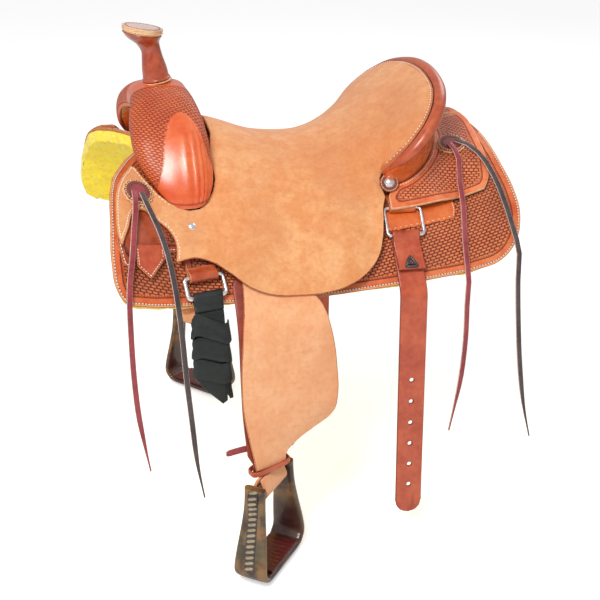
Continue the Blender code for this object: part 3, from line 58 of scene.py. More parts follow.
CAMERA_AZIMUTH = math.radians(-15)
CAMERA_ELEVATION = math.radians(24)
CAMERA_DISTANCE = 2.0
CAMERA_LENS = 68.5
CAMERA_SENSOR = 36
CAMERA_TARGET = Vector((0.0, 0.0, -0.243))


def build_camera():
    back = Vector((math.sin(CAMERA_AZIMUTH) * math.cos(CAMERA_ELEVATION),
                   -math.cos(CAMERA_AZIMUTH) * math.cos(CAMERA_ELEVATION),
                   math.sin(CAMERA_ELEVATION)))
    data = bpy.data.cameras.new("photo_camera")
    data.lens = CAMERA_LENS
    data.sensor_width = CAMERA_SENSOR
    camera = bpy.data.objects.new("photo_camera", data)
    bpy.context.scene.collection.objects.link(camera)
    camera.location = CAMERA_TARGET + back * CAMERA_DISTANCE
    camera.rotation_mode = "QUATERNION"
    camera.rotation_quaternion = (-back).to_track_quat("-Z", "Y")
    bpy.context.scene.camera = camera


build_camera()


# Shader nodes

def srgb(red, green, blue):
    """A colour as it shows on screen, 0 to 255, in linear values."""
    linear = [((v / 255 + 0.055) / 1.055) ** 2.4 if v > 10 else v / 3294.6 for v in (red, green, blue)]
    return (*linear, 1.0)


def feed(tree, node, values):
    """Give a node's inputs their values, by a link where the value is a socket."""
    for key, value in values.items():
        if isinstance(value, bpy.types.NodeSocket):
            tree.links.new(value, node.inputs[key])
        else:
            node.inputs[key].default_value = value


def add_node(tree, kind, values=None, **settings):
    node = tree.nodes.new(kind)
    for name, value in settings.items():
        setattr(node, name, value)
    feed(tree, node, values or {})
    return node


def calc(tree, operation, a, b=0.0, c=0.0):
    return add_node(tree, "ShaderNodeMath", {0: a, 1: b, 2: c}, operation=operation).outputs[0]


def product(tree, a, b):
    return calc(tree, "MULTIPLY", a, b)


def off_middle(tree, value):
    """Distance of a value from one half."""
    return calc(tree, "ABSOLUTE", calc(tree, "SUBTRACT", value, 0.5))


def ramp(tree, value, low, high, to_low=0.0, to_high=1.0):
    """Smooth step of a value between two limits."""
    values = {"Value": value, "From Min": low, "From Max": high, "To Min": to_low, "To Max": to_high}
    node = add_node(tree, "ShaderNodeMapRange", values, interpolation_type="SMOOTHSTEP")
    return node.outputs["Result"]


def layered(tree, colour, *layers):
    """A colour with others laid over it, each by its share. All are colours as seen on screen."""
    colour = srgb(*colour) if isinstance(colour, tuple) else colour
    for share, over in layers:
        mix = add_node(tree, "ShaderNodeMix", {0: share, 6: colour, 7: srgb(*over)}, data_type="RGBA")
        colour = mix.outputs[2]
    return colour


def speckle(tree, vector, scale, detail=3.0, roughness=0.55):
    values = {"Vector": vector, "Scale": scale, "Detail": detail, "Roughness": roughness}
    return add_node(tree, "ShaderNodeTexNoise", values).outputs["Fac"]


def cells(tree, vector, scale):
    values = {"Vector": vector, "Scale": scale}
    return add_node(tree, "ShaderNodeTexVoronoi", values, feature="SMOOTH_F1").outputs["Distance"]


def streaks(tree, vector, scale, detail, roughness=0.55):
    """Speckle drawn out along an axis, by a scale for each axis."""
    drawn = add_node(tree, "ShaderNodeMapping", {"Vector": vector, "Scale": scale}).outputs["Vector"]
    return speckle(tree, drawn, 1.0, detail, roughness)


def new_group(name, inputs):
    """A shader node group with its inputs. An input without a value is a vector."""
    tree = bpy.data.node_groups.new(name, "ShaderNodeTree")
    for label, value in inputs.items():
        kind = "NodeSocketVector" if value is None else "NodeSocketFloat"
        socket = tree.interface.new_socket(label, in_out="INPUT", socket_type=kind)
        if value is not None:
            socket.default_value = value
    return tree, tree.nodes.new("NodeGroupInput").outputs


def closed_group(tree, outputs):
    """The group with its outputs made and linked."""
    for label in outputs:
        tree.interface.new_socket(label, in_out="OUTPUT", socket_type="NodeSocketFloat")
    feed(tree, tree.nodes.new("NodeGroupOutput"), outputs)
    return tree


def use_group(tree, group, values):
    return add_node(tree, "ShaderNodeGroup", values, node_tree=group).outputs


def build_grain():
    """Fine pebbled grain, soft mottling and a few long creases of grain leather."""
    tree, given = new_group("leather_grain", {"Vector": None, "Pebble Scale": 900.0})
    where = given["Vector"]
    pebbles = cells(tree, where, given["Pebble Scale"])
    fine = calc(tree, "ADD", speckle(tree, where, 420.0, 4.0), 0.35)
    broad = product(tree, speckle(tree, where, 22.0, 5.0, 0.6), 0.75)
    mottle = calc(tree, "MULTIPLY_ADD", speckle(tree, where, 120.0, 3.0), 0.35, broad)
    creases = streaks(tree, where, (40.0, 40.0, 9.0), 6.0, 0.65)
    return closed_group(tree, {"Pebble": calc(tree, "MULTIPLY_ADD", pebbles, -0.55, fine),
                               "Mottle": ramp(tree, mottle, 0.35, 0.75),
                               "Crease": ramp(tree, creases, 0.62, 0.70)})


def build_nap():
    """Short brushed nap of rough-out leather: fibres, worn patches and faint scuffs."""
    tree, given = new_group("suede_nap", {"Vector": None})
    where = given["Vector"]
    fibre = product(tree, speckle(tree, where, 650.0, 5.0, 0.7), 0.5)
    clump = speckle(tree, where, 150.0, 4.0, 0.6)
    broad = product(tree, speckle(tree, where, 12.0, 6.0, 0.62), 0.65)
    middle = speckle(tree, where, 45.0, 4.0, 0.6)
    scuffs = streaks(tree, where, (30.0, 30.0, 90.0), 5.0, 0.6)
    patch = calc(tree, "MULTIPLY_ADD", middle, 0.45, broad)
    return closed_group(tree, {"Nap": calc(tree, "MULTIPLY_ADD", clump, 0.6, fibre),
                               "Patch": ramp(tree, patch, 0.42, 0.70),
                               "Scuff": ramp(tree, scuffs, 0.60, 0.72)})


# Eight fine lines across each stamp
STAMP_LINES = 50.3


def build_basket():
    """Basketweave stamping: rows of lined oblong stamps, each row set half a stamp over."""
    tree, given = new_group("basket_stamp",
                            {"Vector": None, "Angle": 0.0, "Length": 0.0085, "Height": 0.0046})
    values = {"Vector": given["Vector"], "Angle": given["Angle"]}
    turned = add_node(tree, "ShaderNodeVectorRotate", values, rotation_type="Z_AXIS")
    parts = add_node(tree, "ShaderNodeSeparateXYZ", {"Vector": turned.outputs[0]}).outputs
    rows = calc(tree, "DIVIDE", parts["Y"], given["Height"])
    odd = calc(tree, "FLOORED_MODULO", calc(tree, "FLOOR", rows), 2.0)
    along = calc(tree, "MULTIPLY_ADD", odd, 0.5, calc(tree, "DIVIDE", parts["X"], given["Length"]))
    spot = calc(tree, "FRACT", along)
    end = product(tree, off_middle(tree, spot), 2.0)
    side = product(tree, off_middle(tree, calc(tree, "FRACT", rows)), 2.0)
    body = product(tree, ramp(tree, end, 1.0, 0.55), ramp(tree, side, 1.0, 0.45))
    lines = calc(tree, "SINE", product(tree, spot, STAMP_LINES))
    lines = calc(tree, "MULTIPLY_ADD", lines, 0.13, 0.13)
    lined = product(tree, lines, ramp(tree, end, 0.25, 0.5))
    return closed_group(tree, {"Relief": calc(tree, "SUBTRACT", body, lined)})


def build_border():
    """Tooled border: a line cut at a distance from the edge, and a row of shell stamps inside it."""
    tree, given = new_group("border_line",
                            {"Edge": 0.0, "Along": 0.0, "Distance": 0.013, "Pitch": 0.0045})
    apart = calc(tree, "SUBTRACT", given["Edge"], given["Distance"])
    line = ramp(tree, calc(tree, "ABSOLUTE", apart), 0.0011, 0.0003)
    shell = off_middle(tree, calc(tree, "FRACT", calc(tree, "DIVIDE", given["Along"], given["Pitch"])))
    reach = calc(tree, "MULTIPLY_ADD", shell, -0.0050, 0.0036)
    shells = ramp(tree, calc(tree, "SUBTRACT", apart, reach), 0.0004, -0.0004)
    row = product(tree, shells, ramp(tree, apart, 0.0004, 0.0010))
    return closed_group(tree, {"Relief": calc(tree, "MAXIMUM", line, product(tree, row, 0.75)),
                               "Inside": ramp(tree, apart, 0.0034, 0.0044)})


GRAIN = build_grain()
NAP = build_nap()
BASKET = build_basket()
BORDER = build_border()


# Materials

def new_material(name):
    """A new material, its node tree and the object's own coordinates in it."""
    material = bpy.data.materials.new(name)
    material.use_nodes = True
    tree = material.node_tree
    return material, tree, add_node(tree, "ShaderNodeTexCoord").outputs["Object"]


def value_of(tree, name):
    return add_node(tree, "ShaderNodeAttribute", attribute_name=name).outputs["Fac"]


def surfaced(material, colour, roughness, height, depth, more=None):
    """Give a material its colour, roughness and relief, and what else its shader takes."""
    tree = material.node_tree
    bump = add_node(tree, "ShaderNodeBump", {"Height": height, "Distance": depth, "Strength": 1.0})
    values = {"Base Color": colour, "Roughness": roughness, "Normal": bump.outputs["Normal"]}
    feed(tree, tree.nodes["Principled BSDF"], values | (more or {}))
    return material


def smooth_leather(name, base, dark, light, rough=(0.34, 0.50), coat=0.25, pebble=0.00012):
    """Smooth grain leather with oiled, mottled colour and a soft polish."""
    material, tree, where = new_material(name)
    grain = use_group(tree, GRAIN, {"Vector": where})
    colour = layered(tree, base,
                     (grain["Mottle"], light),
                     (product(tree, grain["Crease"], 0.35), dark),
                     (product(tree, ramp(tree, grain["Pebble"], 0.45, 0.15), 0.30), dark))
    roughness = ramp(tree, grain["Mottle"], 0.0, 1.0, *rough)
    return surfaced(material, colour, roughness, grain["Pebble"], pebble,
                    {"Coat Weight": coat, "Coat Roughness": 0.25})


SKIRT_STITCHING = 0.0040


def tooled_leather(name, base, dark, light, length, height, angle, border, depth=0.00075, stain_and_shade=0.92,
                   margin=None):
    """Basket-stamped leather: dark dye in the stamps, a cut border line and a plain polished margin.

    A margin colour is for panels stitched near the edge: paler outside a band of painted shade along the
    stitching line.
    """
    material, tree, where = new_material(name)
    grain = use_group(tree, GRAIN, {"Vector": where})
    laid = add_node(tree, "ShaderNodeUVMap", uv_map="leather").outputs["UV"]
    stamp = use_group(tree, BASKET, {"Vector": laid, "Angle": angle, "Length": length, "Height": height})
    edge = value_of(tree, "edge")
    tooled = value_of(tree, "stamp")
    line = use_group(tree, BORDER, {"Edge": edge, "Along": value_of(tree, "along"), "Distance": border})
    stamped = product(tree, line["Inside"], tooled)
    cut = calc(tree, "MAXIMUM", line["Relief"], value_of(tree, "cut"))
    surface = calc(tree, "MULTIPLY_ADD", stamp["Relief"], stamped, calc(tree, "SUBTRACT", 1.0, stamped))
    surface = calc(tree, "SUBTRACT", surface, cut)
    handled = ramp(tree, speckle(tree, where, 9.0, 4.0, 0.6), 0.40, 0.66, 0.0, 0.34)
    colour = layered(tree, base,
                     (grain["Mottle"], light),
                     # Painted highlight: the raised tops of the stamps are lightened
                     (product(tree, stamped, ramp(tree, surface, 0.55, 0.95)), light),
                     # Stain and painted shade: darker where the surface sinks, in the stamps and cut
                     # lines
                     (ramp(tree, surface, 0.54, 0.06, 0.0, stain_and_shade), dark),
                     (product(tree, handled, stamped), dark),
                     (product(tree, ramp(tree, edge, 0.0022, 0.0006), 0.55), light))
    if margin:
        away = calc(tree, "ABSOLUTE", calc(tree, "SUBTRACT", edge, SKIRT_STITCHING))
        colour = layered(tree, colour,
                         (ramp(tree, edge, 0.0038, 0.0026, 0.0, 0.62), margin),
                         # Painted shade in a band along the stitching line, under the stitches
                         (ramp(tree, away, 0.0017, 0.0007, 0.0, 0.70), dark))
    polish = ramp(tree, surface, 0.1, 0.9, 0.62, 0.40)
    plain = calc(tree, "ADD", calc(tree, "MULTIPLY_ADD", tooled, 0.14, 0.26), cut)
    whole = calc(tree, "MULTIPLY_ADD", grain["Pebble"], 0.12, surface)
    return surfaced(material, colour, calc(tree, "MINIMUM", polish, plain), whole, depth,
                    {"Coat Weight": ramp(tree, tooled, 0.0, 1.0, 0.60, 0.15), "Coat Roughness": 0.28})


# Colour of the painted shadow line under the seat's stitches along the cantle's rim
SHADOW_LINE_SUEDE = (168, 74, 40)


def suede(name, base, worn, shade):
    """Rough-out leather: matt nap, paler worn patches and darker scuffs."""
    material, tree, where = new_material(name)
    nap = use_group(tree, NAP, {"Vector": where})
    broad = speckle(tree, where, 6.0, 4.0, 0.55)
    colour = layered(tree, base,
                     (nap["Patch"], worn),
                     (product(tree, nap["Scuff"], 0.30), shade),
                     (ramp(tree, nap["Nap"], 0.62, 0.40, 0.0, 0.32), shade),
                     (ramp(tree, value_of(tree, "edge"), 0.0030, 0.0004, 0.0, 0.45), worn),
                     # Painted shadow line where the cut value is set: under the seat's stitches along the
                     # cantle's rim
                     (ramp(tree, value_of(tree, "cut"), 0.2, 1.0, 0.0, 0.75), SHADOW_LINE_SUEDE),
                     (ramp(tree, broad, 0.43, 0.64, 0.0, 0.55), shade))
    return surfaced(material, colour, ramp(tree, nap["Nap"], 0.3, 0.8, 0.98, 0.86), nap["Nap"], 0.00045,
                    {"Sheen Weight": 0.25, "Sheen Roughness": 0.5})


def cut_edge(name, base, dark):
    """Trimmed and rubbed edge of thick leather, with its fibres showing along it."""
    material, tree, where = new_material(name)
    fibre = streaks(tree, where, (120.0, 120.0, 1600.0), 4.0)
    colour = layered(tree, dark,
                     (ramp(tree, fibre, 0.35, 0.65), base),
                     (ramp(tree, speckle(tree, where, 60.0), 0.5, 0.75, 0.0, 0.3), dark))
    return surfaced(material, colour, ramp(tree, fibre, 0.3, 0.7, 0.55, 0.8), fibre, 0.0002)


def wool():
    """Dyed sheepskin: bright curls with painted shade between them, and a faint painted glow of its own
    colour.
    """
    material, tree, where = new_material("yellow_fleece")
    strand = speckle(tree, where, 700.0, 6.0, 0.7)
    lump = speckle(tree, where, 70.0, 4.0)
    height = calc(tree, "MULTIPLY_ADD", cells(tree, where, 150.0), -0.9, product(tree, strand, 0.8))
    colour = layered(tree, (244, 186, 4),
                     # Painted shade: darker in the low places between the curls, lighter on their tops
                     (ramp(tree, height, -0.45, 0.05), (255, 228, 16)),
                     (ramp(tree, lump, 0.52, 0.75, 0.0, 0.5), (255, 240, 90)))
    whole = calc(tree, "MULTIPLY_ADD", lump, 1.4, height)
    # Painted glow: the fleece emits its own colour, though it is no lamp
    return surfaced(material, colour, ramp(tree, strand, 0.2, 0.8, 1.0, 0.85), whole, 0.0028,
                    {"Emission Color": colour, "Emission Strength": 0.22, "Sheen Weight": 0.5})


def thread():
    """Waxed stitching thread, twisted."""
    material, tree, where = new_material("cream_thread")
    twist = speckle(tree, where, 1500.0)
    colour = layered(tree, (236, 216, 190), (ramp(tree, twist, 0.35, 0.65), (255, 248, 236)))
    return surfaced(material, colour, ramp(tree, twist, 0.3, 0.7, 0.7, 0.5), twist, 0.0002)


def polished_steel():
    """Bright plated steel with fine rubbing marks."""
    material, tree, where = new_material("bright_steel")
    rub = streaks(tree, where, (900.0, 200.0, 200.0), 4.0)
    dull = speckle(tree, where, 90.0, 4.0)
    colour = layered(tree, (250, 250, 252),
                     (ramp(tree, dull, 0.45, 0.75, 0.0, 0.5), (214, 214, 218)))
    return surfaced(material, colour, ramp(tree, dull, 0.3, 0.7, 0.24, 0.40), rub, 0.000008,
                    {"Metallic": 1.0})


def bare_wood():
    """Sealed pine of the tree, with its grain along the saddle."""
    material, tree, where = new_material("tree_pine")
    drawn = add_node(tree, "ShaderNodeMapping", {"Vector": where, "Scale": (12.0, 130.0, 130.0)})
    values = {"Vector": drawn.outputs["Vector"], "Scale": 1.0, "Distortion": 6.0, "Detail": 4.0}
    rings = add_node(tree, "ShaderNodeTexWave", values, wave_type="RINGS", rings_direction="X")
    fine = streaks(tree, where, (60.0, 900.0, 900.0), 4.0)
    colour = layered(tree, (176, 128, 78),
                     (rings.outputs["Fac"], (214, 170, 116)),
                     (ramp(tree, fine, 0.55, 0.75, 0.0, 0.35), (130, 88, 50)))
    return surfaced(material, colour, ramp(tree, fine, 0.3, 0.7, 0.5, 0.7), fine, 0.0002)


def stirrup_hide():
    """Old oiled hide over the stirrup: brown and olive patches."""
    material, tree, where = new_material("stirrup_hide")
    grain = use_group(tree, GRAIN, {"Vector": where, "Pebble Scale": 500.0})
    patch = speckle(tree, where, 34.0, 6.0, 0.6)
    olive = speckle(tree, where, 16.0, 4.0)
    colour = layered(tree, (56, 36, 24),
                     (ramp(tree, patch, 0.36, 0.66), (144, 104, 60)),
                     (ramp(tree, olive, 0.48, 0.64, 0.0, 0.55), (96, 92, 62)),
                     (product(tree, grain["Crease"], 0.6), (34, 24, 20)),
                     (value_of(tree, "lining"), (62, 22, 22)))
    whole = calc(tree, "MULTIPLY_ADD", patch, 1.5, grain["Pebble"])
    return surfaced(material, colour, ramp(tree, patch, 0.3, 0.7, 0.28, 0.52), whole, 0.0004,
                    {"Coat Weight": 0.4})


# Each stamped leather: base, dark and light colour, stamp length, height and angle, border distance
SKIRT_TOOLING = tooled_leather("tooled_skirt_leather", (210, 84, 34), (96, 26, 10), (234, 130, 76),
                               0.0086, 0.0046, 0.10, 0.0135, 0.00095, margin=(242, 180, 124))
JOCKEY_TOOLING = tooled_leather("tooled_jockey_leather", (216, 88, 38), (122, 36, 14), (244, 142, 90),
                                0.0080, 0.0043, -0.20, 0.0100, 0.00095)
RIGGING_TOOLING = tooled_leather("tooled_rigging_leather", (150, 52, 24), (58, 14, 8), (190, 92, 56),
                                 0.0080, 0.0043, 0.10, 0.0090)
FORK_TOOLING = tooled_leather("tooled_fork_leather", (220, 80, 28), (132, 34, 12), (234, 116, 62),
                              0.0080, 0.0042, 0.35, 0.0060, 0.0010, 0.72)
# Each smooth leather: base, dark and light colour, then roughness, coat and depth of the grain
ORANGE = smooth_leather("orange_saddle_leather", (212, 90, 32), (124, 36, 12), (234, 124, 60),
                        (0.22, 0.36), 0.45)
REDBROWN = smooth_leather("redbrown_leather", (172, 66, 32), (92, 28, 14), (204, 100, 58), (0.28, 0.42),
                          0.4)
BILLET = smooth_leather("billet_leather", (176, 66, 36), (104, 30, 16), (206, 98, 62), (0.28, 0.42),
                        0.35)
DARK_RED = smooth_leather("dark_red_leather", (124, 40, 22), (60, 16, 10), (160, 64, 38))
HORN = smooth_leather("horn_leather", (150, 54, 26), (78, 20, 10), (200, 92, 54), (0.12, 0.26), 0.9)
BURGUNDY = smooth_leather("burgundy_leather", (136, 42, 48), (72, 18, 26), (168, 68, 74))
BLACK_LACE = smooth_leather("black_lace_leather", (52, 44, 46), (18, 14, 16), (88, 76, 76))
LATIGO = smooth_leather("black_latigo_leather", (15, 18, 17), (4, 5, 5), (40, 46, 43), (0.42, 0.66),
                        0.08, 0.0004)
ROSETTE = smooth_leather("rosette_leather", (104, 40, 32), (46, 14, 14), (148, 72, 58))
HORN_TOP = smooth_leather("horn_cap_leather", (226, 190, 178), (178, 126, 112), (244, 218, 208),
                          (0.24, 0.40), 0.6)
TREAD = smooth_leather("tread_leather", (78, 18, 22), (28, 8, 10), (112, 38, 40))
LACE = smooth_leather("stirrup_lace", (150, 132, 104), (74, 58, 42), (192, 174, 142))
SEAT_SUEDE = suede("rough_out_seat", (230, 152, 94), (244, 182, 126), (204, 116, 62))
FENDER_SUEDE = suede("rough_out_fender", (240, 168, 118), (248, 188, 140), (218, 136, 88))
LOOP_SUEDE = suede("rough_out_loop", (238, 158, 106), (246, 182, 132), (212, 122, 74))
FLESH = suede("flesh_side", (206, 132, 88), (220, 154, 108), (168, 98, 58))
TAN_EDGE = cut_edge("tan_edge", (224, 148, 100), (176, 96, 56))
CREAM_EDGE = cut_edge("cream_edge", (250, 212, 168), (220, 158, 104))
PALE_EDGE = cut_edge("pale_lace_edge", (232, 206, 192), (176, 134, 124))
FLEECE = wool()
THREAD = thread()
STEEL = polished_steel()
PINE = bare_wood()
HIDE = stirrup_hide()


# The form, as the frame's source has it

CROWN_HEIGHT = 0.025
WAIST_X = -0.05
WITHER_RISE = 0.89
LOIN_RISE = 0.27
BARREL_RADIUS = 0.27
FLANK_ANGLE = math.radians(56)
CLEARANCE = 0.0005
SKIRT_LEATHER = 0.005
FLEECE_PILE = 0.019
RIGGING_LEATHER = 0.004
SEAT_LEATHER = 0.005
JOCKEY_LEATHER = 0.004
COVER_LEATHER = 0.0035
FENDER_LEATHER = 0.0045
STIRRUP_LEATHER = 0.004
STRAP_LEATHER = 0.004
BAR_THICKNESS = 0.016
RUNNING_GAP = 0.0005
RIGGING_GAP = 0.0009


def rise_at(x):
    return WITHER_RISE if x < WAIST_X else LOIN_RISE


def crown(x):
    """Height of the form's ridge."""
    return CROWN_HEIGHT + rise_at(x) * (x - WAIST_X) ** 2


def crown_slope(x):
    return 2 * rise_at(x) * (x - WAIST_X)


def section(s, h):
    """Outward distance and height below the ridge of a point s down the form and h above it."""
    angle = min(abs(s) / BARREL_RADIUS, FLANK_ANGLE)
    straight = max(abs(s) - BARREL_RADIUS * FLANK_ANGLE, 0.0)
    out = (BARREL_RADIUS + h) * math.sin(angle) + straight * math.cos(angle)
    up = (BARREL_RADIUS + h) * math.cos(angle) - straight * math.sin(angle) - BARREL_RADIUS
    return out, up


def on_form(x, s, h, side=FAR):
    """World place of (x, s, h). A negative s lies on the other side of the ridge."""
    out, up = section(s, h)
    out = -out if s < 0 else out
    return Vector((x, side * out, crown(x) + up))


def form_axes(x, s, side):
    """Level direction, direction down the form and outward normal at a place on it."""
    angle = min(abs(s) / BARREL_RADIUS, FLANK_ANGLE)
    out = Vector((-crown_slope(x) * math.cos(angle), side * math.sin(angle), math.cos(angle)))
    out.normalize()
    level = Vector((abs(out.y), -side * out.x, 0.0))
    level.normalize()
    down = level.cross(out) * -side
    return level, down, out


def smooth_step(value, low, high):
    t = min(max((value - low) / (high - low), 0.0), 1.0)
    return t * t * (3 - 2 * t)


def through(stations, t):
    """Smooth curve through (position, value) stations, with straight ends."""
    last = len(stations) - 2
    i = 0
    while i < last and t > stations[i + 1][0]:
        i += 1
    t0, a = stations[i]
    t1, b = stations[i + 1]
    before = stations[max(i - 1, 0)]
    after = stations[min(i + 2, len(stations) - 1)]
    slope_a = (b - before[1]) / (t1 - before[0]) if t1 != before[0] else 0.0
    slope_b = (after[1] - a) / (after[0] - t0) if after[0] != t0 else 0.0
    u = min(max((t - t0) / (t1 - t0), 0.0), 1.0)
    span = t1 - t0
    return (a * (2 * u**3 - 3 * u**2 + 1) + slope_a * span * (u**3 - 2 * u**2 + u)
            + b * (3 * u**2 - 2 * u**3) + slope_b * span * (u**3 - u**2))


# Heights of the seat leather's outer face, in millimetres
SEAT_COLUMNS = (0.0, 0.04, 0.08, 0.11, 0.13, 0.15, 0.19, 0.24, 0.31)
SEAT_ROWS = (
    (-0.345, (11, 11, 11, 11, 11, 11, 11, 11, 11)),
    (-0.285, (14, 14, 13, 12, 11, 11, 11, 11, 13)),
    (-0.235, (55, 50, 36, 24, 17, 13, 12, 18, 23)),
    (-0.200, (60, 54, 42, 28, 20, 15.5, 13, 20, 23)),
    (-0.160, (60, 55, 45, 35, 29, 24, 19, 22, 24)),
    (-0.130, (56, 51, 42, 33, 30, 27, 23, 24, 24)),
    (-0.067, (37, 36, 34, 31, 29, 27, 24, 24, 24)),
    (0.000, (31, 30.5, 29.5, 28, 26.5, 25.5, 24, 24, 24)),
    (0.034, (37, 36.5, 35, 32, 28, 24.5, 21.5, 21, 21)),
    (0.060, (46, 46, 45, 40, 30, 23, 19, 18, 18)),
    (0.080, (55, 55, 56, 50, 30, 23, 22, 20, 17)),
    (0.094, (61, 62, 64, 60, 31, 23, 22, 20, 17)),
    (0.110, (69, 70, 74, 77, 68, 48, 17, 17, 17)),
    (0.126, (77, 79, 84, 89, 86.5, 72, 17, 17, 17)),
    (0.144, (87, 89, 95, 101.5, 99, 85, 17, 17, 17)),
    (0.161, (97, 100, 106, 110.5, 104, 90, 17, 17, 17)),
    (0.178, (106, 109, 115.5, 114, 106, 92, 17, 17, 17)),
    (0.199, (116.5, 117.5, 118.5, 117, 108, 94, 17, 17, 17)),
)
SEAT_CURVES = [(x, list(zip(SEAT_COLUMNS, row))) for x, row in SEAT_ROWS]

# The cantle's rim, where the seat leather ends
RIM = ((0.199, 0.0), (0.197, 0.036), (0.192, 0.064), (0.185, 0.082), (0.175, 0.099), (0.161, 0.1145),
       (0.144, 0.127), (0.126, 0.1350), (0.109, 0.1365), (0.096, 0.131))
RIM_SPAN = len(RIM) - 1
CANTLE_SETBACK = 0.008


def seat_height(x, s):
    s = min(abs(s), SEAT_COLUMNS[-1])
    first = 0
    while first < len(SEAT_CURVES) - 2 and x > SEAT_CURVES[first + 1][0]:
        first += 1
    rows = SEAT_CURVES[max(first - 1, 0):first + 3]
    return MM * through([(row_x, through(row, s)) for row_x, row in rows], x)


def seat_slope(x, s):
    """Growth of the seat surface over the form where it climbs."""
    step = 0.004
    along = (seat_height(x + step, s) - seat_height(x - step, s)) / (2 * step)
    across = (seat_height(x, abs(s) + step) - seat_height(x, abs(s))) / step
    return min(math.sqrt(1 + along * along + across * across), 2.0)


def rim_at(u, offset=0.0):
    """Place on the rim, u from 0 in the middle to 1 at its end, drawn outward by an offset."""
    t = abs(u) * RIM_SPAN
    xs = [(-1, RIM[1][0])] + [(i, p[0]) for i, p in enumerate(RIM)]
    lengths = [(-1, -RIM[1][1])] + [(i, p[1]) for i, p in enumerate(RIM)]
    x = through(xs, t)
    s = through(lengths, t)
    dx = through(xs, t + 0.05) - through(xs, t - 0.05)
    ds = through(lengths, t + 0.05) - through(lengths, t - 0.05)
    if t > RIM_SPAN - 0.05:
        dx, ds = RIM[-1][0] - RIM[-2][0], RIM[-1][1] - RIM[-2][1]
    run = math.hypot(dx, ds)
    return x + offset * ds / run, math.copysign(s - offset * dx / run, u)


def corner(x, s):
    return (x, s, "VECTOR")


def corners(*points):
    return [corner(x, s) for x, s in points]


def smooth_points(*points):
    return [(x, s, "AUTO") for x, s in points]


def mirrored_loop(half):
    """Close a half outline, from the ridge's front to its rear, with its mirror image."""
    return half + [(x, -s, kind) for x, s, kind in reversed(half) if s > 1e-6]


# Meshes

def keep_object(name, mesh, materials, body, nodes):
    for material in materials:
        mesh.materials.append(material)
    obj = bpy.data.objects.new(name, mesh)
    bpy.context.scene.collection.objects.link(obj)
    return dress(obj, body, nodes)


def dress(obj, body, nodes=()):
    """The piece rides on its body, and stands for the CAD nodes of the same place."""
    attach(obj, body)
    if nodes:
        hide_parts(*([nodes] if isinstance(nodes, str) else nodes))
    return obj


def select_only(obj):
    bpy.ops.object.select_all(action="DESELECT")
    obj.select_set(True)
    bpy.context.view_layer.objects.active = obj


def set_mode(mode):
    bpy.ops.object.mode_set(mode=mode)


def apply_modifier(obj, kind, **settings):
    modifier = obj.modifiers.new(kind.lower(), kind)
    for name, value in settings.items():
        setattr(modifier, name, value)
    select_only(obj)
    bpy.ops.object.modifier_apply(modifier=modifier.name)


def finished(name, bm, materials, body, nodes=(), angle=None, weighted=True):
    mesh = bpy.data.meshes.new(name)
    bmesh.ops.recalc_face_normals(bm, faces=bm.faces[:])
    bm.to_mesh(mesh)
    bm.free()
    mesh.shade_smooth()
    if angle is not None:
        mesh.set_sharp_from_angle(angle=math.radians(angle))
    obj = keep_object(name, mesh, materials, body, nodes)
    if weighted:
        apply_modifier(obj, "WEIGHTED_NORMAL", keep_sharp=True)
    return obj


OUTLINE_STEPS = 6
# Rows of a panel's grid closer than this are left out, except a strap's own cuts
NARROW_ROW = 0.0006


def traced(loop):
    """The points of an outline, as Blender draws its curve."""
    curve = bpy.data.curves.new("outline", "CURVE")
    curve.dimensions = "2D"
    curve.fill_mode = "NONE"
    curve.resolution_u = OUTLINE_STEPS
    spline = curve.splines.new("BEZIER")
    spline.use_cyclic_u = True
    spline.bezier_points.add(len(loop) - 1)
    for point, (x, s, kind) in zip(spline.bezier_points, loop):
        point.co = (x, s, 0.0)
        point.handle_left_type = kind
        point.handle_right_type = kind
    guide = bpy.data.objects.new("outline", curve)
    bpy.context.scene.collection.objects.link(guide)
    depsgraph = bpy.context.evaluated_depsgraph_get()
    mesh = bpy.data.meshes.new_from_object(guide.evaluated_get(depsgraph))
    points = [Vector((v.co.x, v.co.y)) for v in mesh.vertices]
    bpy.data.objects.remove(guide, do_unlink=True)
    bpy.data.meshes.remove(mesh)
    return [p for i, p in enumerate(points) if (p - points[i - 1]).length > 1e-5]


def leather_mesh():
    """An empty mesh with the values and the UV map that leather materials read."""
    bm = bmesh.new()
    # The cut value marks a line: a cut line on tooled leather, a painted shadow line on the seat's suede
    layers = [bm.verts.layers.float.new(key) for key in ("edge", "along", "stamp", "cut")]
    return bm, layers, bm.loops.layers.uv.new("leather")


def set_values(vert, layers, *values):
    for layer, value in zip(layers, values):
        vert[layer] = value


def lay_flat(bm, laid, flat):
    """UV map: each vertex's place on the flat leather."""
    for face in bm.faces:
        for loop_corner in face.loops:
            loop_corner[laid].uv = flat[loop_corner.vert]


def rim_normals(edges):
    """Outward direction in the flat, not of unit length, at each vertex on the rim edges."""
    outward = {}
    for e in edges:
        a, b = e.verts
        normal = Vector((b.co.y - a.co.y, a.co.x - b.co.x))
        inside = e.link_faces[0].calc_center_median() - (a.co + b.co) / 2
        normal = -normal if normal.dot(inside.to_2d()) > 0 else normal
        normal.normalize()
        for v in e.verts:
            outward[v.index] = outward.get(v.index, Vector((0, 0))) + normal
    return outward


def edge_reach(points, outline):
    """Distance of each point from the outline, and the length along the outline there."""
    start = np.array([tuple(p) for p in outline])
    run = np.roll(start, -1, axis=0) - start
    size = np.maximum((run ** 2).sum(1), 1e-18)
    lengths = np.concatenate([[0.0], np.cumsum(np.sqrt(size))[:-1]])
    places = np.array([tuple(p) for p in points]).reshape(-1, 1, 2)
    share = np.clip(((places - start) * run).sum(2) / size, 0.0, 1.0)
    away = places - (start + share[..., None] * run)
    distance = np.sqrt((away ** 2).sum(2))
    best = distance.argmin(1)
    rows = np.arange(len(best))
    return distance[rows, best], (lengths[best] + share[rows, best] * np.sqrt(size[best]))


def grid_steps(low, high, size):
    count = int(math.ceil((high - low) / size))
    return [low + (high - low) * (i + 0.5) / count for i in range(count)]


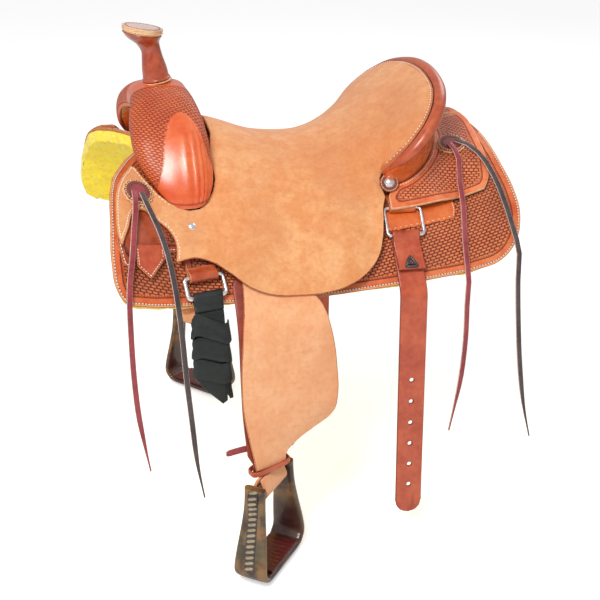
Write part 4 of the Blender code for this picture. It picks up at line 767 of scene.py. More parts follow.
def flat_cells(outline, holes, cuts_x, cuts_s):
    """A flat outline cut into a grid, with its holes left open."""
    bm = bmesh.new()
    if holes:
        for loop in [outline] + holes:
            corners = [bm.verts.new((p.x, p.y, 0.0)) for p in loop]
            for a, b in zip(corners, corners[1:] + corners[:1]):
                bm.edges.new((a, b))
        bmesh.ops.triangle_fill(bm, use_beauty=True, edges=bm.edges[:])
    else:
        bm.faces.new([bm.verts.new((p.x, p.y, 0.0)) for p in outline])
    for axis, cuts in ((Vector((1, 0, 0)), cuts_x), (Vector((0, 1, 0)), cuts_s)):
        for cut in cuts:
            geometry = bm.verts[:] + bm.edges[:] + bm.faces[:]
            bmesh.ops.bisect_plane(bm, geom=geometry, dist=1e-6, plane_co=axis * cut, plane_no=axis)
    bmesh.ops.remove_doubles(bm, verts=bm.verts[:], dist=3e-5)
    return bm


def panel(name, loop, thickness, place, materials, body, nodes=(), cell=0.008, rounding=0.0010,
          holes=(), cuts_s=(), stamp=None, shadow_line=None):
    """Leather cut flat, given its thickness and rubbed edges, and bent by place(x, s, h).

    materials are for the grain side, the cut edge and the flesh side. stamp(x, s) says where tooling
    is, and shadow_line(x, s) where a painted shadow line darkens the leather.
    """
    outline = traced(loop)
    xs = [p.x for p in outline]
    ss = [p.y for p in outline]
    cuts_x = grid_steps(min(xs), max(xs), cell)
    rows = sorted(set(grid_steps(min(ss), max(ss), cell)) | set(cuts_s))
    rows = [s for i, s in enumerate(rows) if i == 0 or s - rows[i - 1] > NARROW_ROW or s in cuts_s]
    flat = flat_cells(outline, [traced(hole) for hole in holes], cuts_x, rows)
    flat.verts.index_update()
    spots = [Vector((v.co.x, v.co.y)) for v in flat.verts]
    distance, along = edge_reach(spots, outline)
    rims = [e for e in flat.edges if len(e.link_faces) == 1]
    outward = rim_normals(rims)
    solid, layers, laid = leather_mesh()
    flat_place = {}

    def corner_at(index, h, inset):
        spot = spots[index]
        if inset and index in outward and outward[index].length > 1e-6:
            spot = spot - outward[index].normalized() * inset
        made = solid.verts.new(place(spot.x, spot.y, h))
        set_values(made, layers, distance[index] + (inset if index in outward else 0.0), along[index],
                   1.0 if stamp is None else stamp(spot.x, spot.y),
                   0.0 if shadow_line is None else shadow_line(spot.x, spot.y))
        flat_place[made] = spot
        return made

    small = min(rounding, thickness * 0.35)
    over = [corner_at(i, thickness, small) for i in range(len(spots))]
    under = [corner_at(i, 0.0, small) for i in range(len(spots))]
    high = {i: corner_at(i, thickness - small, 0.0) for i in outward}
    low = {i: corner_at(i, small, 0.0) for i in outward}
    for face in flat.faces:
        indices = [v.index for v in face.verts]
        solid.faces.new([over[i] for i in indices]).material_index = 0
        solid.faces.new([under[i] for i in reversed(indices)]).material_index = 2
    for e in rims:
        a, b = (v.index for v in e.verts)
        for first, second in ((under, low), (low, high), (high, over)):
            solid.faces.new([first[a], first[b], second[b], second[a]]).material_index = 1
    lay_flat(solid, laid, flat_place)
    flat.free()
    return finished(name, solid, materials, body, nodes), outline


def signed_power(value, power):
    """The power of a value's size, with its sign. Below 1 it draws a circle out to a square."""
    return math.copysign(abs(value) ** power, value)


def round_turn(i, count):
    """Angle of the i-th of count places round a circle."""
    return 2 * math.pi * i / count


def bridge(bm, rows):
    """Faces between neighbouring rings, as (row, place, face)."""
    made = []
    for row, (a, b) in enumerate(rows):
        for i in range(len(a)):
            j = (i + 1) % len(a)
            made.append((row, i, bm.faces.new([a[i], a[j], b[j], b[i]])))
    return made


def at_height(height, side):
    return lambda x, s, h: on_form(x, s, height + h, side)


def lofted(name, rings, materials, body, nodes=(), angle=None, closed=False, slot=None, weighted=True):
    """Faces between rings of equally many points. slot(row, place) gives each face its material."""
    bm = bmesh.new()
    rows = [[bm.verts.new(p) for p in ring] for ring in rings]
    following = rows[1:] + (rows[:1] if closed else [])
    for row, i, face in bridge(bm, zip(rows, following)):
        face.material_index = slot(row, i) if slot else 0
    if not closed:
        bm.faces.new(rows[0])
        bm.faces.new(rows[-1])
    return finished(name, bm, materials, body, nodes, angle, weighted)


BEAD_RINGS = ((-0.5, 0.35), (-0.30, 1.0), (0.30, 1.0), (0.5, 0.35))
BEAD_SIDES = 6


def beads(name, spots, material, body):
    """Short rounded stitches, each from its place, direction, outward normal, length and radius."""
    bm = bmesh.new()
    for place, run, out, length, radius in spots:
        run = run.normalized()
        across = out.cross(run).normalized()
        lift = run.cross(across)
        rings = []
        for share, size in BEAD_RINGS:
            centre = place + run * (share * length)
            ring = []
            for i in range(BEAD_SIDES):
                u = round_turn(i, BEAD_SIDES)
                spoke = across * math.cos(u) + lift * math.sin(u)
                ring.append(bm.verts.new(centre + spoke * radius * size))
            rings.append(ring)
        bridge(bm, zip(rings, rings[1:]))
        bm.faces.new(rings[0])
        bm.faces.new(rings[-1])
    return finished(name, bm, [material], body, weighted=False)


def spaced(points, pitch):
    """Evenly spaced places on a closed line of points, with the direction at each."""
    made = []
    carry = 0.0
    for a, b in zip(points, points[1:] + points[:1]):
        run = b - a
        size = run.length
        if size < 1e-7:
            continue
        run = run / size
        t = carry
        while t < size:
            made.append((a + run * t, run))
            t += pitch
        carry = t - size
    return made


# A stitch's share of the pitch, its rise as a share of its radius, and how near to the edge, as a
# share of the row's distance, a stitch may come where the outline turns inward
STITCH_SHARE = 0.72
STITCH_RISE = 0.25
INSET_KEPT = 0.93


def stitches(name, outline, inset, place, thickness, body, pitch=0.0046, keep=None,
             material=None, radius=0.00085):
    """A row of stitches at a distance inside a panel's outline."""
    turn = sum(a.x * b.y - b.x * a.y for a, b in zip(outline, outline[1:] + outline[:1]))
    found = []
    for spot, run in spaced(outline, pitch):
        inward = Vector((-run.y, run.x)) * (1 if turn > 0 else -1)
        found.append((spot + inward * inset, run))
    reach = edge_reach([spot for spot, _ in found], outline)[0]
    rows = []
    for (spot, run), distance in zip(found, reach):
        if distance < inset * INSET_KEPT or (keep and not keep(spot.x, spot.y)):
            continue
        here = place(spot.x, spot.y, thickness)
        ahead = place(spot.x + run.x * 0.001, spot.y + run.y * 0.001, thickness) - here
        beside = place(spot.x - run.y * 0.001, spot.y + run.x * 0.001, thickness) - here
        inner = place(spot.x, spot.y, 0.0) - here
        out = ahead.cross(beside).normalized()
        out = -out if out.dot(inner) > 0 else out
        rows.append((here + out * radius * STITCH_RISE, ahead, out, pitch * STITCH_SHARE, radius))
    return beads(name, rows, material or THREAD, body)


# Saddle strings: free flat laces

STRING_WIDTH = 0.0085
STRING_THICKNESS = 0.0026
STRING_RINGS = 26
STRINGS = {
    "front_string_red": [(-0.2965, 0.174, 0.0184), (-0.298, 0.199, 0.0198), (-0.305, 0.235, 0.0160),
                         (-0.312, 0.275, 0.0150), (-0.320, 0.315, 0.010), (-0.324, 0.345, 0.008)],
    "front_string_black": [(-0.2855, 0.173, 0.0181), (-0.279, 0.196, 0.0190), (-0.270, 0.222, 0.0200),
                           (-0.262, 0.255, 0.0205), (-0.257, 0.290, 0.0150), (-0.254, 0.325, 0.006)],
    "rear_string_red": [(0.2200, 0.097, 0.0288), (0.224, 0.128, 0.0293), (0.216, 0.165, 0.0195),
                        (0.212, 0.205, 0.0145), (0.206, 0.250, 0.008), (0.202, 0.300, 0.007),
                        (0.2015, 0.316, 0.007)],
    "rear_string_black": [(0.2310, 0.094, 0.0288), (0.246, 0.108, 0.0285), (0.262, 0.135, 0.0240),
                          (0.274, 0.175, 0.015), (0.281, 0.220, 0.009), (0.286, 0.265, 0.007),
                          (0.2885, 0.296, 0.007)],
}
STRING_ENDS = {
    "front_string_red": [(-0.325, -0.140), (-0.325, -0.200), (-0.322, -0.270), (-0.315, -0.330),
                         (-0.309, -0.372)],
    "front_string_black": [(-0.250, -0.150), (-0.246, -0.230), (-0.241, -0.300), (-0.235, -0.380),
                           (-0.226, -0.442)],
    "rear_string_red": [(0.201, -0.160), (0.202, -0.220), (0.198, -0.290), (0.190, -0.340),
                        (0.182, -0.385)],
    "rear_string_black": [(0.290, -0.130), (0.296, -0.200), (0.305, -0.280), (0.318, -0.360),
                          (0.334, -0.425)],
}
FAR_DRIFT = {"front_string_red": 0.045, "front_string_black": 0.0, "rear_string_red": -0.010,
             "rear_string_black": -0.040}
FAR_LIFT = 0.35
# A free string stands a little further out at each place down
STRING_SPREAD = 0.0004
# Section of a lace with rubbed corners, as shares of its half width and half thickness. The
# places in EDGE_FACES run along its pale cut edges.
LACE_SECTION = ((-0.86, -1.0), (0.0, -1.05), (0.86, -1.0), (1.0, -0.5), (1.0, 0.5), (0.86, 1.0),
                (0.0, 1.08), (-0.86, 1.0), (-1.0, 0.5), (-1.0, -0.5))
EDGE_FACES = (2, 3, 4, 7, 8, 9)


def string_route(name, side):
    """Route of a saddle string, as places and outward directions: down the leather, then free."""
    drift, lift = (FAR_DRIFT[name], FAR_LIFT) if side == FAR else (0.0, 0.0)
    laid = STRINGS[name]
    last = len(laid) - 1
    route = [on_form(x + drift * (i / last) ** 2, s, h, side) for i, (x, s, h) in enumerate(laid)]
    outward = [form_axes(x, s, side)[2] for x, s, _ in laid]
    out = abs(route[-1].y) + 2 * STRING_SPREAD
    for x, z in STRING_ENDS[name]:
        route.append(Vector((x + drift, side * out, z + lift * (route[last].z - z))))
        outward.append(Vector((0, side, 0)))
        out += STRING_SPREAD
    return route, outward


def spread(route, values, count):
    """Values given at a route's points, read at evenly spaced places on a smooth curve."""
    lengths = [0.0]
    for a, b in zip(route, route[1:]):
        lengths.append(lengths[-1] + (b - a).length)
    axes = [[(length, value[axis]) for length, value in zip(lengths, values)] for axis in range(3)]
    stops = [lengths[-1] * i / (count - 1) for i in range(count)]
    return [Vector([through(stations, stop) for stations in axes]) for stop in stops]


def build_string(name, word, side):
    material = BURGUNDY if name.endswith("red") else BLACK_LACE
    route, outwards = string_route(name, side)
    points = spread(route, route, STRING_RINGS)
    facing = spread(route, outwards, STRING_RINGS)
    rings = []
    for index, point in enumerate(points):
        before = points[max(index - 1, 0)]
        after = points[min(index + 1, len(points) - 1)]
        run = (after - before).normalized()
        across = run.cross(facing[index]).normalized()
        taper = 1 - 0.72 * smooth_step(index, 0.75 * STRING_RINGS, STRING_RINGS - 1)
        half = across * (STRING_WIDTH / 2 * taper)
        deep = across.cross(run).normalized() * (STRING_THICKNESS / 2)
        deep = deep if deep.dot(facing[index]) > 0 else -deep
        rings.append([point + half * a + deep * b for a, b in LACE_SECTION])
    lace = lofted(f"{name}_{word}_lace", rings, [material, PALE_EDGE], "saddle", f"{name}_{word}",
                  slot=lambda row, i: 1 if i in EDGE_FACES else 0)


for side_word, side_sign in SIDES:
    for string in STRINGS:
        build_string(string, side_word, side_sign)


# Skirts and fleece

SKIRT_OUTLINE = (
    corners((0.296, 0.003), (0.165, 0.003), (0.150, 0.028), (-0.262, 0.034))
    + smooth_points((-0.281, 0.063), (-0.308, 0.114), (-0.327, 0.160), (-0.338, 0.242), (-0.342, 0.296),
                    (-0.338, 0.334), (-0.328, 0.346), (-0.300, 0.343), (-0.250, 0.330), (-0.158, 0.310),
                    (-0.003, 0.304), (0.142, 0.305), (0.230, 0.306), (0.262, 0.301), (0.290, 0.279),
                    (0.305, 0.240), (0.306, 0.197), (0.301, 0.144), (0.298, 0.060)))
FAR_FLEECE_REACH = 0.005
FLEECE_INSET = 0.0035
# Curls to the metre in the fleece's noise, and how far they hang below and stand out at the sides
CURL_SCALE = 42
CURL_DROP = 0.0030
CURL_SHIFT = 0.0034


def inset_outline(outline, amount):
    """The outline drawn in towards its middle."""
    middle_x = sum(p[0] for p in outline) / len(outline)
    middle_s = sum(p[1] for p in outline) / len(outline)
    drawn = []
    for x, s, kind in outline:
        away = Vector((x - middle_x, s - middle_s)).normalized()
        drawn.append((x - away.x * amount, max(s - away.y * amount, 0.003), kind))
    return drawn


def build_skirts():
    for word, side in SIDES:
        place = at_height(-SKIRT_LEATHER, side)
        outline = panel(word + "_skirt", SKIRT_OUTLINE, SKIRT_LEATHER, place,
                        [SKIRT_TOOLING, TAN_EDGE, FLESH], "saddle", "skirt_" + word, cell=0.0075)[1]
        stitches(word + "_skirt_stitching", outline, SKIRT_STITCHING, place, SKIRT_LEATHER, "saddle",
                 0.0048, lambda x, s: s > 0.05)


def build_fleece():
    """Sheepskin lining, its curls proud of the skirt's edge and uneven below."""
    for word, side in SIDES:
        low = -SKIRT_LEATHER - 0.0004 - FLEECE_PILE
        outline = inset_outline(SKIRT_OUTLINE, FLEECE_INSET)
        if side == FAR:
            outline = [(x - FAR_FLEECE_REACH * smooth_step(-x, 0.22, 0.32), s, kind)
                       for x, s, kind in outline]

        def place(x, s, h, side=side, low=low):
            spot = Vector((x * CURL_SCALE, s * CURL_SCALE, side * 3.1))
            push = noise.noise_vector(spot) + noise.noise_vector(spot * 2.7) * 0.5
            under = 1 - h / FLEECE_PILE
            drop = CURL_DROP * under * (push.z + noise.noise(spot * 3.1) * 0.8)
            shift = CURL_SHIFT * (1 - abs(2 * h / FLEECE_PILE - 1)) + 0.0016
            return on_form(x + push.x * shift, s + push.y * shift, low + h - max(drop, -0.002), side)

        panel(word + "_fleece", outline, FLEECE_PILE, place, [FLEECE, FLEECE, FLEECE], "saddle",
              "fleece_" + word, cell=0.0070, rounding=0.0020)


# Seat leather and the leather under it

SEAT_HALF = (
    corners((-0.160, 0.0), (-0.160, 0.045), (-0.167, 0.075), (-0.1705, 0.095), (-0.1690, 0.125),
            (-0.176, 0.143), (-0.188, 0.161), (-0.201, 0.173), (-0.216, 0.1785), (-0.232, 0.1780),
            (-0.247, 0.171), (-0.260, 0.161), (-0.270, 0.148), (-0.279, 0.135), (-0.286, 0.122))
    + smooth_points((-0.292, 0.119), (-0.300, 0.130), (-0.312, 0.152), (-0.322, 0.178), (-0.328, 0.215),
                    (-0.329, 0.250))
    + corners((-0.325, 0.266))
    + smooth_points((-0.314, 0.239), (-0.290, 0.197), (-0.270, 0.207), (-0.252, 0.222), (-0.246, 0.240))
    + corners((-0.249, 0.267))
    + smooth_points((-0.232, 0.259), (-0.218, 0.255), (-0.194, 0.258), (-0.172, 0.270), (-0.144, 0.290),
                    (-0.115, 0.300), (-0.070, 0.303), (-0.030, 0.303), (0.006, 0.297), (0.040, 0.280),
                    (0.062, 0.258), (0.0715, 0.237), (0.0795, 0.207), (0.0835, 0.188))
    + corners((0.0915, 0.170), (0.091, 0.158), (0.0905, 0.148), (0.091, 0.138)))
RIM_STEPS = 44


def seat_place(x, s, h):
    return on_form(x, s, seat_height(x, s) - (SEAT_LEATHER - h) * seat_slope(x, s), FAR)


def stitch_shadow_line(x, s):
    """1 near the seat's stitched edges along the cantle's rim, where a painted shadow line darkens the
    leather.
    """
    if x < 0.090:
        return 0.0
    reach = min(math.hypot(x - rx, abs(s) - rs) for rx, rs in RIM_LINE)
    return 1.0 - smooth_step(reach, 0.0030, 0.0062)


RIM_LINE = [rim_at(i / 120) for i in range(121)]


def build_seat():
    rim = [corner(*rim_at(1 - i / RIM_STEPS)) for i in range(RIM_STEPS + 1)]
    outline = panel("seat_leather", mirrored_loop(SEAT_HALF + rim), SEAT_LEATHER, seat_place,
                    [SEAT_SUEDE, TAN_EDGE, FLESH], "saddle", "seat", cell=0.0060, shadow_line=stitch_shadow_line)[1]
    stitches("cantle_stitching", outline, 0.0036, seat_place, SEAT_LEATHER, "saddle", 0.0044,
             lambda x, s: x > 0.0935)
    stitches("front_tab_stitching", outline, 0.0038, seat_place, SEAT_LEATHER, "saddle", 0.0048,
             lambda x, s: x < -0.242 and abs(s) > 0.121)
    ground = corners((0.055, 0.0), (0.052, 0.06), (0.045, 0.100), (-0.05, 0.098), (-0.13, 0.108),
                     (-0.156, 0.08), (-0.156, 0.0))
    place = at_height(BAR_THICKNESS + 2 * CLEARANCE, FAR)
    panel("ground_seat_leather", mirrored_loop(ground), 0.004, place, [ORANGE, TAN_EDGE, FLESH], "saddle",
          "ground_seat", cell=0.012)


# Rear jockeys

# Height of the jockey's under face over the bar and over the skirt, and what the dee under it adds
JOCKEY_OVER_BAR = 0.0016
JOCKEY_OVER_SKIRT = 0.0060
JOCKEY_OVER_DEE = 0.0105


def jockey_height(x, s):
    """Height of a rear jockey's under face: over the bars, the dee, and then near the skirt."""
    over_bar = 1 - smooth_step(abs(s), 0.130, 0.156)
    over_dee = 1 - smooth_step(x, 0.165, 0.225)
    side = JOCKEY_OVER_SKIRT + JOCKEY_OVER_DEE * over_dee
    return side + (BAR_THICKNESS + JOCKEY_OVER_BAR - side) * over_bar


def build_rear_jockeys():
    edge = CANTLE_SETBACK + COVER_LEATHER + 0.0026
    top = [corner(*rim_at(0.9 - 0.88 * i / 30, edge)) for i in range(31)]
    for word, side in SIDES:
        outline = (corners((0.098, 0.168), (0.108, 0.158)) + top + corners((0.278, 0.002))
                   + smooth_points((0.278, 0.04), (0.273, 0.085), (0.271, 0.133), (0.268, 0.165))
                   + corners((0.256, 0.184))
                   + smooth_points((0.212, 0.189), (0.162, 0.192), (0.112, 0.192))
                   + corners((0.096, 0.191)))

        def place(x, s, h, side=side):
            ply = -0.0020 * smooth_step(s, 0.174, 0.186) * (1 - h / JOCKEY_LEATHER)
            return on_form(x, s, jockey_height(x, s) + h + ply, side)

        line = panel(word + "_rear_jockey", outline, JOCKEY_LEATHER, place,
                     [JOCKEY_TOOLING, CREAM_EDGE, FLESH], "saddle", "rear_jockey_" + word, cell=0.0065)[1]
        stitches(word + "_jockey_stitching", line, 0.0034, place, JOCKEY_LEATHER, "saddle", 0.0044,
                 lambda x, s: x < 0.262 and 0.004 < s < 0.162)


# Fork: outer and inner side of the arch seen from the front, and its front and rear

FORK_STATIONS = (
    (0.0, 0.1590, 0.0, 0.104, -0.276, -0.184),
    (0.045, 0.152, 0.032, 0.101, -0.281, -0.180),
    (0.084, 0.132, 0.058, 0.092, -0.287, -0.175),
    (0.114, 0.104, 0.077, 0.078, -0.288, -0.172),
    (0.137, 0.074, 0.092, 0.062, -0.284, -0.171),
    (0.154, 0.046, 0.108, 0.048, -0.273, -0.173),
    (0.165, 0.022, 0.128, 0.034, -0.256, -0.180),
    (0.169, 0.007, 0.150, 0.018, -0.236, -0.195),
)
FORK_SPAN = len(FORK_STATIONS) - 1
FORK_ROUNDNESS = 0.72
# Gathered pleats low on the swell: the angle of each, its width in degrees and its height
PLEATS = ((97, 3.2, 0.0020), (108, 3.4, 0.0030), (119, 3.4, 0.0028), (130, 3.0, 0.0018))


def fork_station(t):
    """Station values at t, from the top (0) to the foot."""
    values = []
    for column, sign in zip(zip(*FORK_STATIONS), (-1, 1, -1, 1, 1, 1)):
        stations = [(-1, sign * column[1])] + list(enumerate(column))
        values.append(through(stations, t))
    return values


def fork_point(t, angle, inset, side):
    """A place on the fork's section at t. Angle 0 is the front and 90 degrees the outer side."""
    yo, zo, yi, zi, front, rear = fork_station(t)
    outward = Vector((yo - yi, zo - zi))
    half_wall = outward.length / 2 - inset
    outward.normalize()
    middle = Vector(((yo + yi) / 2, (zo + zi) / 2))
    half_length = (rear - front) / 2 - inset
    u = math.radians(angle)
    p = -half_length * signed_power(math.cos(u), FORK_ROUNDNESS)
    q = half_wall * signed_power(math.sin(u), FORK_ROUNDNESS)
    place = middle + outward * q
    return Vector(((front + rear) / 2 + p, side * place.x, place.y))


def fork_rows(angles, last, step, pleated):
    """Sections of the leather over the fork, near foot to far foot, with the lengths run along it."""
    count = int(round(last / step))
    stretch = [(last * i / count, NEAR) for i in range(count, 0, -1)]
    stretch += [(last * i / count, FAR) for i in range(0, count + 1)]
    run_v = 0.0
    before = None
    rows = []
    for t, side in stretch:
        outer = [fork_point(t, angle, 0.0, side) for angle in angles]
        if pleated:
            for i, angle in enumerate(angles):
                inward = fork_point(t, angle, 0.004, side)
                out = (outer[i] - inward).normalized()
                foot = 0.0035 * smooth_step(t, 6.0, 6.8)
                fullness = bulb_rise(outer[i]) + foot + pleat_rise(t, angle) - 0.0004
                outer[i] = outer[i] + out * fullness
        inner = [fork_point(t, angle, COVER_LEATHER, side) for angle in angles]
        middle = outer[len(outer) // 2]
        run_v += (middle - before).length if before else 0.0
        before = middle
        run_u = [0.0]
        for a, b in zip(outer, outer[1:]):
            run_u.append(run_u[-1] + (b - a).length)
        rows.append((t, outer, inner, run_u, run_v))
    return rows


# The swell's smooth face: its middle, half width and widening along the saddle, the height and rise
# of its arched top, and its padding
BULB_X = -0.212
BULB_HALF = 0.036
BULB_WIDENING = 0.016
BULB_BASE_Z = 0.050
BULB_ARCH = 0.080
BULB_FROM_Y = 0.05
BULB_PADDING = 0.0062
FAR_FROM_BULB = 9.0


def bulb_reach(place):
    """Distance from the swell's middle, 1 on the arched line round its smooth face."""
    wide = BULB_HALF + BULB_WIDENING * smooth_step(0.075 - place.z, 0.0, 0.06)
    rise = max(place.z - BULB_BASE_Z, 0.0) / BULB_ARCH
    return math.hypot((place.x - BULB_X) / wide, rise) if abs(place.y) > BULB_FROM_Y else FAR_FROM_BULB


def bulb_share(place):
    return smooth_step(1.0 - bulb_reach(place), -0.03, 0.03)


def bulb_rise(place):
    """The swell's padding: fullest in the middle of its smooth face."""
    low = smooth_step(place.z, -0.010, 0.030)
    return BULB_PADDING * low * (1 - smooth_step(bulb_reach(place), 0.0, 1.25))


def pleat_rise(t, angle):
    fade = smooth_step(t, 2.2, 3.4) * (1 - smooth_step(t, 6.2, 6.9))
    rise = 0.0
    for middle, width, height in PLEATS:
        lean = middle - 3.0 * (t - 4.5)
        rise += height * math.exp(-((angle - lean) / width) ** 2)
    return rise * fade


def fork_shell(name, angles, last, step, materials, nodes, pleated):
    """Leather drawn over the fork: outer and inner face over the whole arch, near foot to far foot."""
    rows = fork_rows(angles, last, step, pleated)
    bm, layers, laid = leather_mesh()
    total = rows[-1][4]
    width = 2 * len(angles)
    rings = []
    flat = {}
    for t, outer, inner, run_u, v in rows:
        ring = []
        half = run_u[-1] / 2
        for i, place in enumerate(outer + inner[::-1]):
            index = i if i < len(outer) else width - 1 - i
            vert = bm.verts.new(place)
            edge = min(run_u[index], run_u[-1] - run_u[index], v, total - v)
            smooth = bulb_share(place) if pleated else 1.0
            near_top = smooth_step(0.62 - t, 0.0, 0.05) if pleated else 0.0
            near_foot = smooth_step(t, 6.25, 6.4)
            line = max(4 * smooth * (1 - smooth), 4 * near_top * (1 - near_top)) if pleated else 0.0
            set_values(vert, layers, edge, v, 1.0 - max(smooth, near_top, near_foot), 0.8 * line)
            flat[vert] = (run_u[index] - half, v - total / 2)
            ring.append(vert)
        rings.append(ring)
    for _, i, face in bridge(bm, zip(rings, rings[1:])):
        edge = i in (len(angles) - 1, width - 1)
        face.material_index = 1 if edge else (0 if i < len(angles) else 2)
    for ring in (rings[0], rings[-1]):
        bm.faces.new(ring).material_index = 1
    lay_flat(bm, laid, flat)
    return finished(name, bm, materials, "saddle", nodes, angle=60)


def build_fork():
    angles = [-25 + 230 * i / 92 for i in range(93)]
    fork_shell("swell_cover", angles, FORK_SPAN, 0.085, [FORK_TOOLING, TAN_EDGE, FLESH], "fork_cover",
               True)
    angles = [218 + 104 * i / 26 for i in range(27)]
    fork_shell("gullet_lining", angles, 4.9, 0.2, [ORANGE, TAN_EDGE, FLESH], "gullet_cover", False)


# Horn

HORN_X = -0.231
HORN_BASE_Z = 0.1545
HORN_LEAN = math.radians(8)
HORN_NECK_LENGTH = 0.0615
HORN_NECK_BASE_RADIUS = 0.0205
HORN_NECK_TOP_RADIUS = 0.0158
HORN_CAP_RADIUS = 0.0315
HORN_CAP_THICKNESS = 0.0095
HORN_CAP_TILT = math.radians(9.5)
HORN_CAP_OFFSET = -0.014
# Rise and flare of the neck's foot, then share of the neck's length and of the foot's radius
HORN_FOOT = ((0.0062, 0.0010), (0.0076, 0.0016), (0.0092, 0.0014), (0.0108, 0.0))
HORN_NECK = ((0.35, 0.93), (0.7, 0.80), (1.0, 0.735))
HORN_CAP_SIDES = 72
HORN_EDGE_STITCHES = 64
# The neck's seam: its stitches, where it starts and how far it turns in degrees, and the rings of
# the neck that are left below and above it
SEAM_STITCHES = 21
SEAM_FROM = -70
SEAM_TURN = 62
SEAM_START = 24
SEAM_END = 10


def ring_about(centre, axis, radius, sides=48):
    """Circle of points about an axis in the X-Z plane."""
    across = Vector((axis.z, 0.0, -axis.x))
    return [centre + radius * (math.cos(u) * across + math.sin(u) * Vector((0, 1, 0)))
            for u in (round_turn(i, sides) for i in range(sides))]


def edit_faces(obj, test):
    """In edit mode, with only the faces selected whose centre and normal pass the test."""
    set_mode("OBJECT")
    select_only(obj)
    set_mode("EDIT")
    bpy.ops.mesh.select_mode(type="FACE")
    bpy.ops.mesh.select_all(action="DESELECT")
    set_mode("OBJECT")
    for polygon in obj.data.polygons:
        polygon.select = test(polygon.center, polygon.normal)
    set_mode("EDIT")


def settle(obj, name, matrix, materials, nodes=(), angle=35):
    """Name a hand-shaped piece, put its place into its mesh and dress it."""
    obj.name = name
    obj.data.name = name
    obj.data.transform(matrix @ obj.matrix_world)
    obj.matrix_world = Matrix.Identity(4)
    for material in materials:
        obj.data.materials.append(material)
    select_only(obj)
    set_mode("EDIT")
    bpy.ops.mesh.select_all(action="SELECT")
    bpy.ops.mesh.remove_doubles(threshold=0.00001)
    bpy.ops.mesh.normals_make_consistent(inside=False)
    set_mode("OBJECT")
    bpy.ops.object.shade_smooth_by_angle(angle=math.radians(angle))
    return dress(obj, "saddle", nodes)


def disc(radius, thickness, sides, lobes, depth):
    """A flat disc on z = 0, raised by extruding, with a rubbed upper edge and a scalloped outline."""
    bpy.ops.mesh.primitive_circle_add(vertices=sides, radius=radius, fill_type="NGON")
    obj = bpy.context.active_object
    for v in obj.data.vertices:
        turn = math.atan2(v.co.y, v.co.x)
        v.co *= 1 - depth * (1 - abs(math.cos(turn * lobes / 2)))
    set_mode("EDIT")
    bpy.ops.mesh.select_all(action="SELECT")
    for share in (0.8, 0.2):
        bpy.ops.mesh.extrude_region_move(TRANSFORM_OT_translate={"value": (0, 0, thickness * share)})
    share = 1 - thickness * 0.25 / radius
    bpy.ops.transform.resize(value=(share, share, 1))
    set_mode("OBJECT")
    return obj


def dome(radius, sides, rings, low, flatness):
    """The upper part of a ball, cut off below a level and flattened."""
    bpy.ops.mesh.primitive_uv_sphere_add(segments=sides, ring_count=rings, radius=radius)
    obj = bpy.context.active_object
    edit_faces(obj, lambda centre, normal: centre.z < low)
    bpy.ops.mesh.delete(type="FACE")
    set_mode("OBJECT")
    for v in obj.data.vertices:
        v.co.z *= flatness
    return obj


def build_horn():
    base = Vector((HORN_X, 0, HORN_BASE_Z))
    axis = Vector((-math.sin(HORN_LEAN), 0.0, math.cos(HORN_LEAN)))
    cap_axis = Vector((math.sin(HORN_CAP_TILT), 0.0, math.cos(HORN_CAP_TILT)))
    top = base + axis * HORN_NECK_LENGTH
    cap_base = top + Vector((HORN_CAP_OFFSET, 0, 0)) + cap_axis * 0.018
    foot = HORN_NECK_BASE_RADIUS
    stations = [(base + axis * rise, axis, foot + flare) for rise, flare in HORN_FOOT]
    for share, radius in HORN_NECK:
        rise = HORN_FOOT[-1][0] + share * (HORN_NECK_LENGTH - 0.0188)
        stations.append((base + axis * rise, axis, foot * radius))
    stations.append((top + Vector((-0.003, 0, 0.002)), (axis * 0.6 + cap_axis * 0.4).normalized(),
                     HORN_NECK_TOP_RADIUS * 1.12))
    stations.append((top + Vector((-0.009, 0, 0.010)), (axis * 0.2 + cap_axis * 0.8).normalized(),
                     HORN_CAP_RADIUS * 0.80))
    stations.append((cap_base, cap_axis, HORN_CAP_RADIUS * 0.97))
    rings = []
    fine = 6
    last = len(stations) - 1
    for i in range(last * fine + 1):
        t = i / fine
        centre, lean = (
            Vector([through([(k, s[part][a]) for k, s in enumerate(stations)], t) for a in range(3)])
            for part in (0, 1))
        radius = through([(k, s[2]) for k, s in enumerate(stations)], t)
        rings.append(ring_about(centre, lean.normalized(), radius))
    lofted("horn_wrap", rings, [HORN], "saddle", "horn_neck")
    build_horn_seam(rings, axis)
    collar = ring_about(base + axis * 0.0045, axis, foot + 0.0022, 60)
    rows = [(a.lerp(b, 0.5), b - a, (a - base).normalized(), (b - a).length * 1.25, 0.0011)
            for a, b in zip(collar, collar[1:] + collar[:1])]
    beads("horn_collar", rows, CREAM_EDGE, "saddle")
    place = Matrix.Translation(cap_base + cap_axis * 0.0003) @ Matrix.Rotation(HORN_CAP_TILT, 4, "Y")
    build_horn_cap(place)


def build_horn_seam(rings, axis):
    """The slanted seam up the near side of the neck's wrap."""
    across = Vector((axis.z, 0.0, -axis.x))
    seam = []
    for i in range(SEAM_STITCHES + 1):
        share = i / SEAM_STITCHES
        u = math.radians(SEAM_FROM + SEAM_TURN * share)
        ring = rings[int(SEAM_START + share * (len(rings) - SEAM_START - SEAM_END))]
        centre = sum(ring, Vector((0, 0, 0))) / len(ring)
        radius = (ring[0] - centre).length
        out = math.cos(u) * across + math.sin(u) * Vector((0, 1, 0))
        seam.append((centre + out * radius, out))
    rows = []
    for (a, out), (b, _) in zip(seam, seam[1:]):
        rows.append((a.lerp(b, 0.5), b - a, out, (b - a).length * 0.72, 0.0007))
    beads("horn_seam", rows, DARK_RED, "saddle")


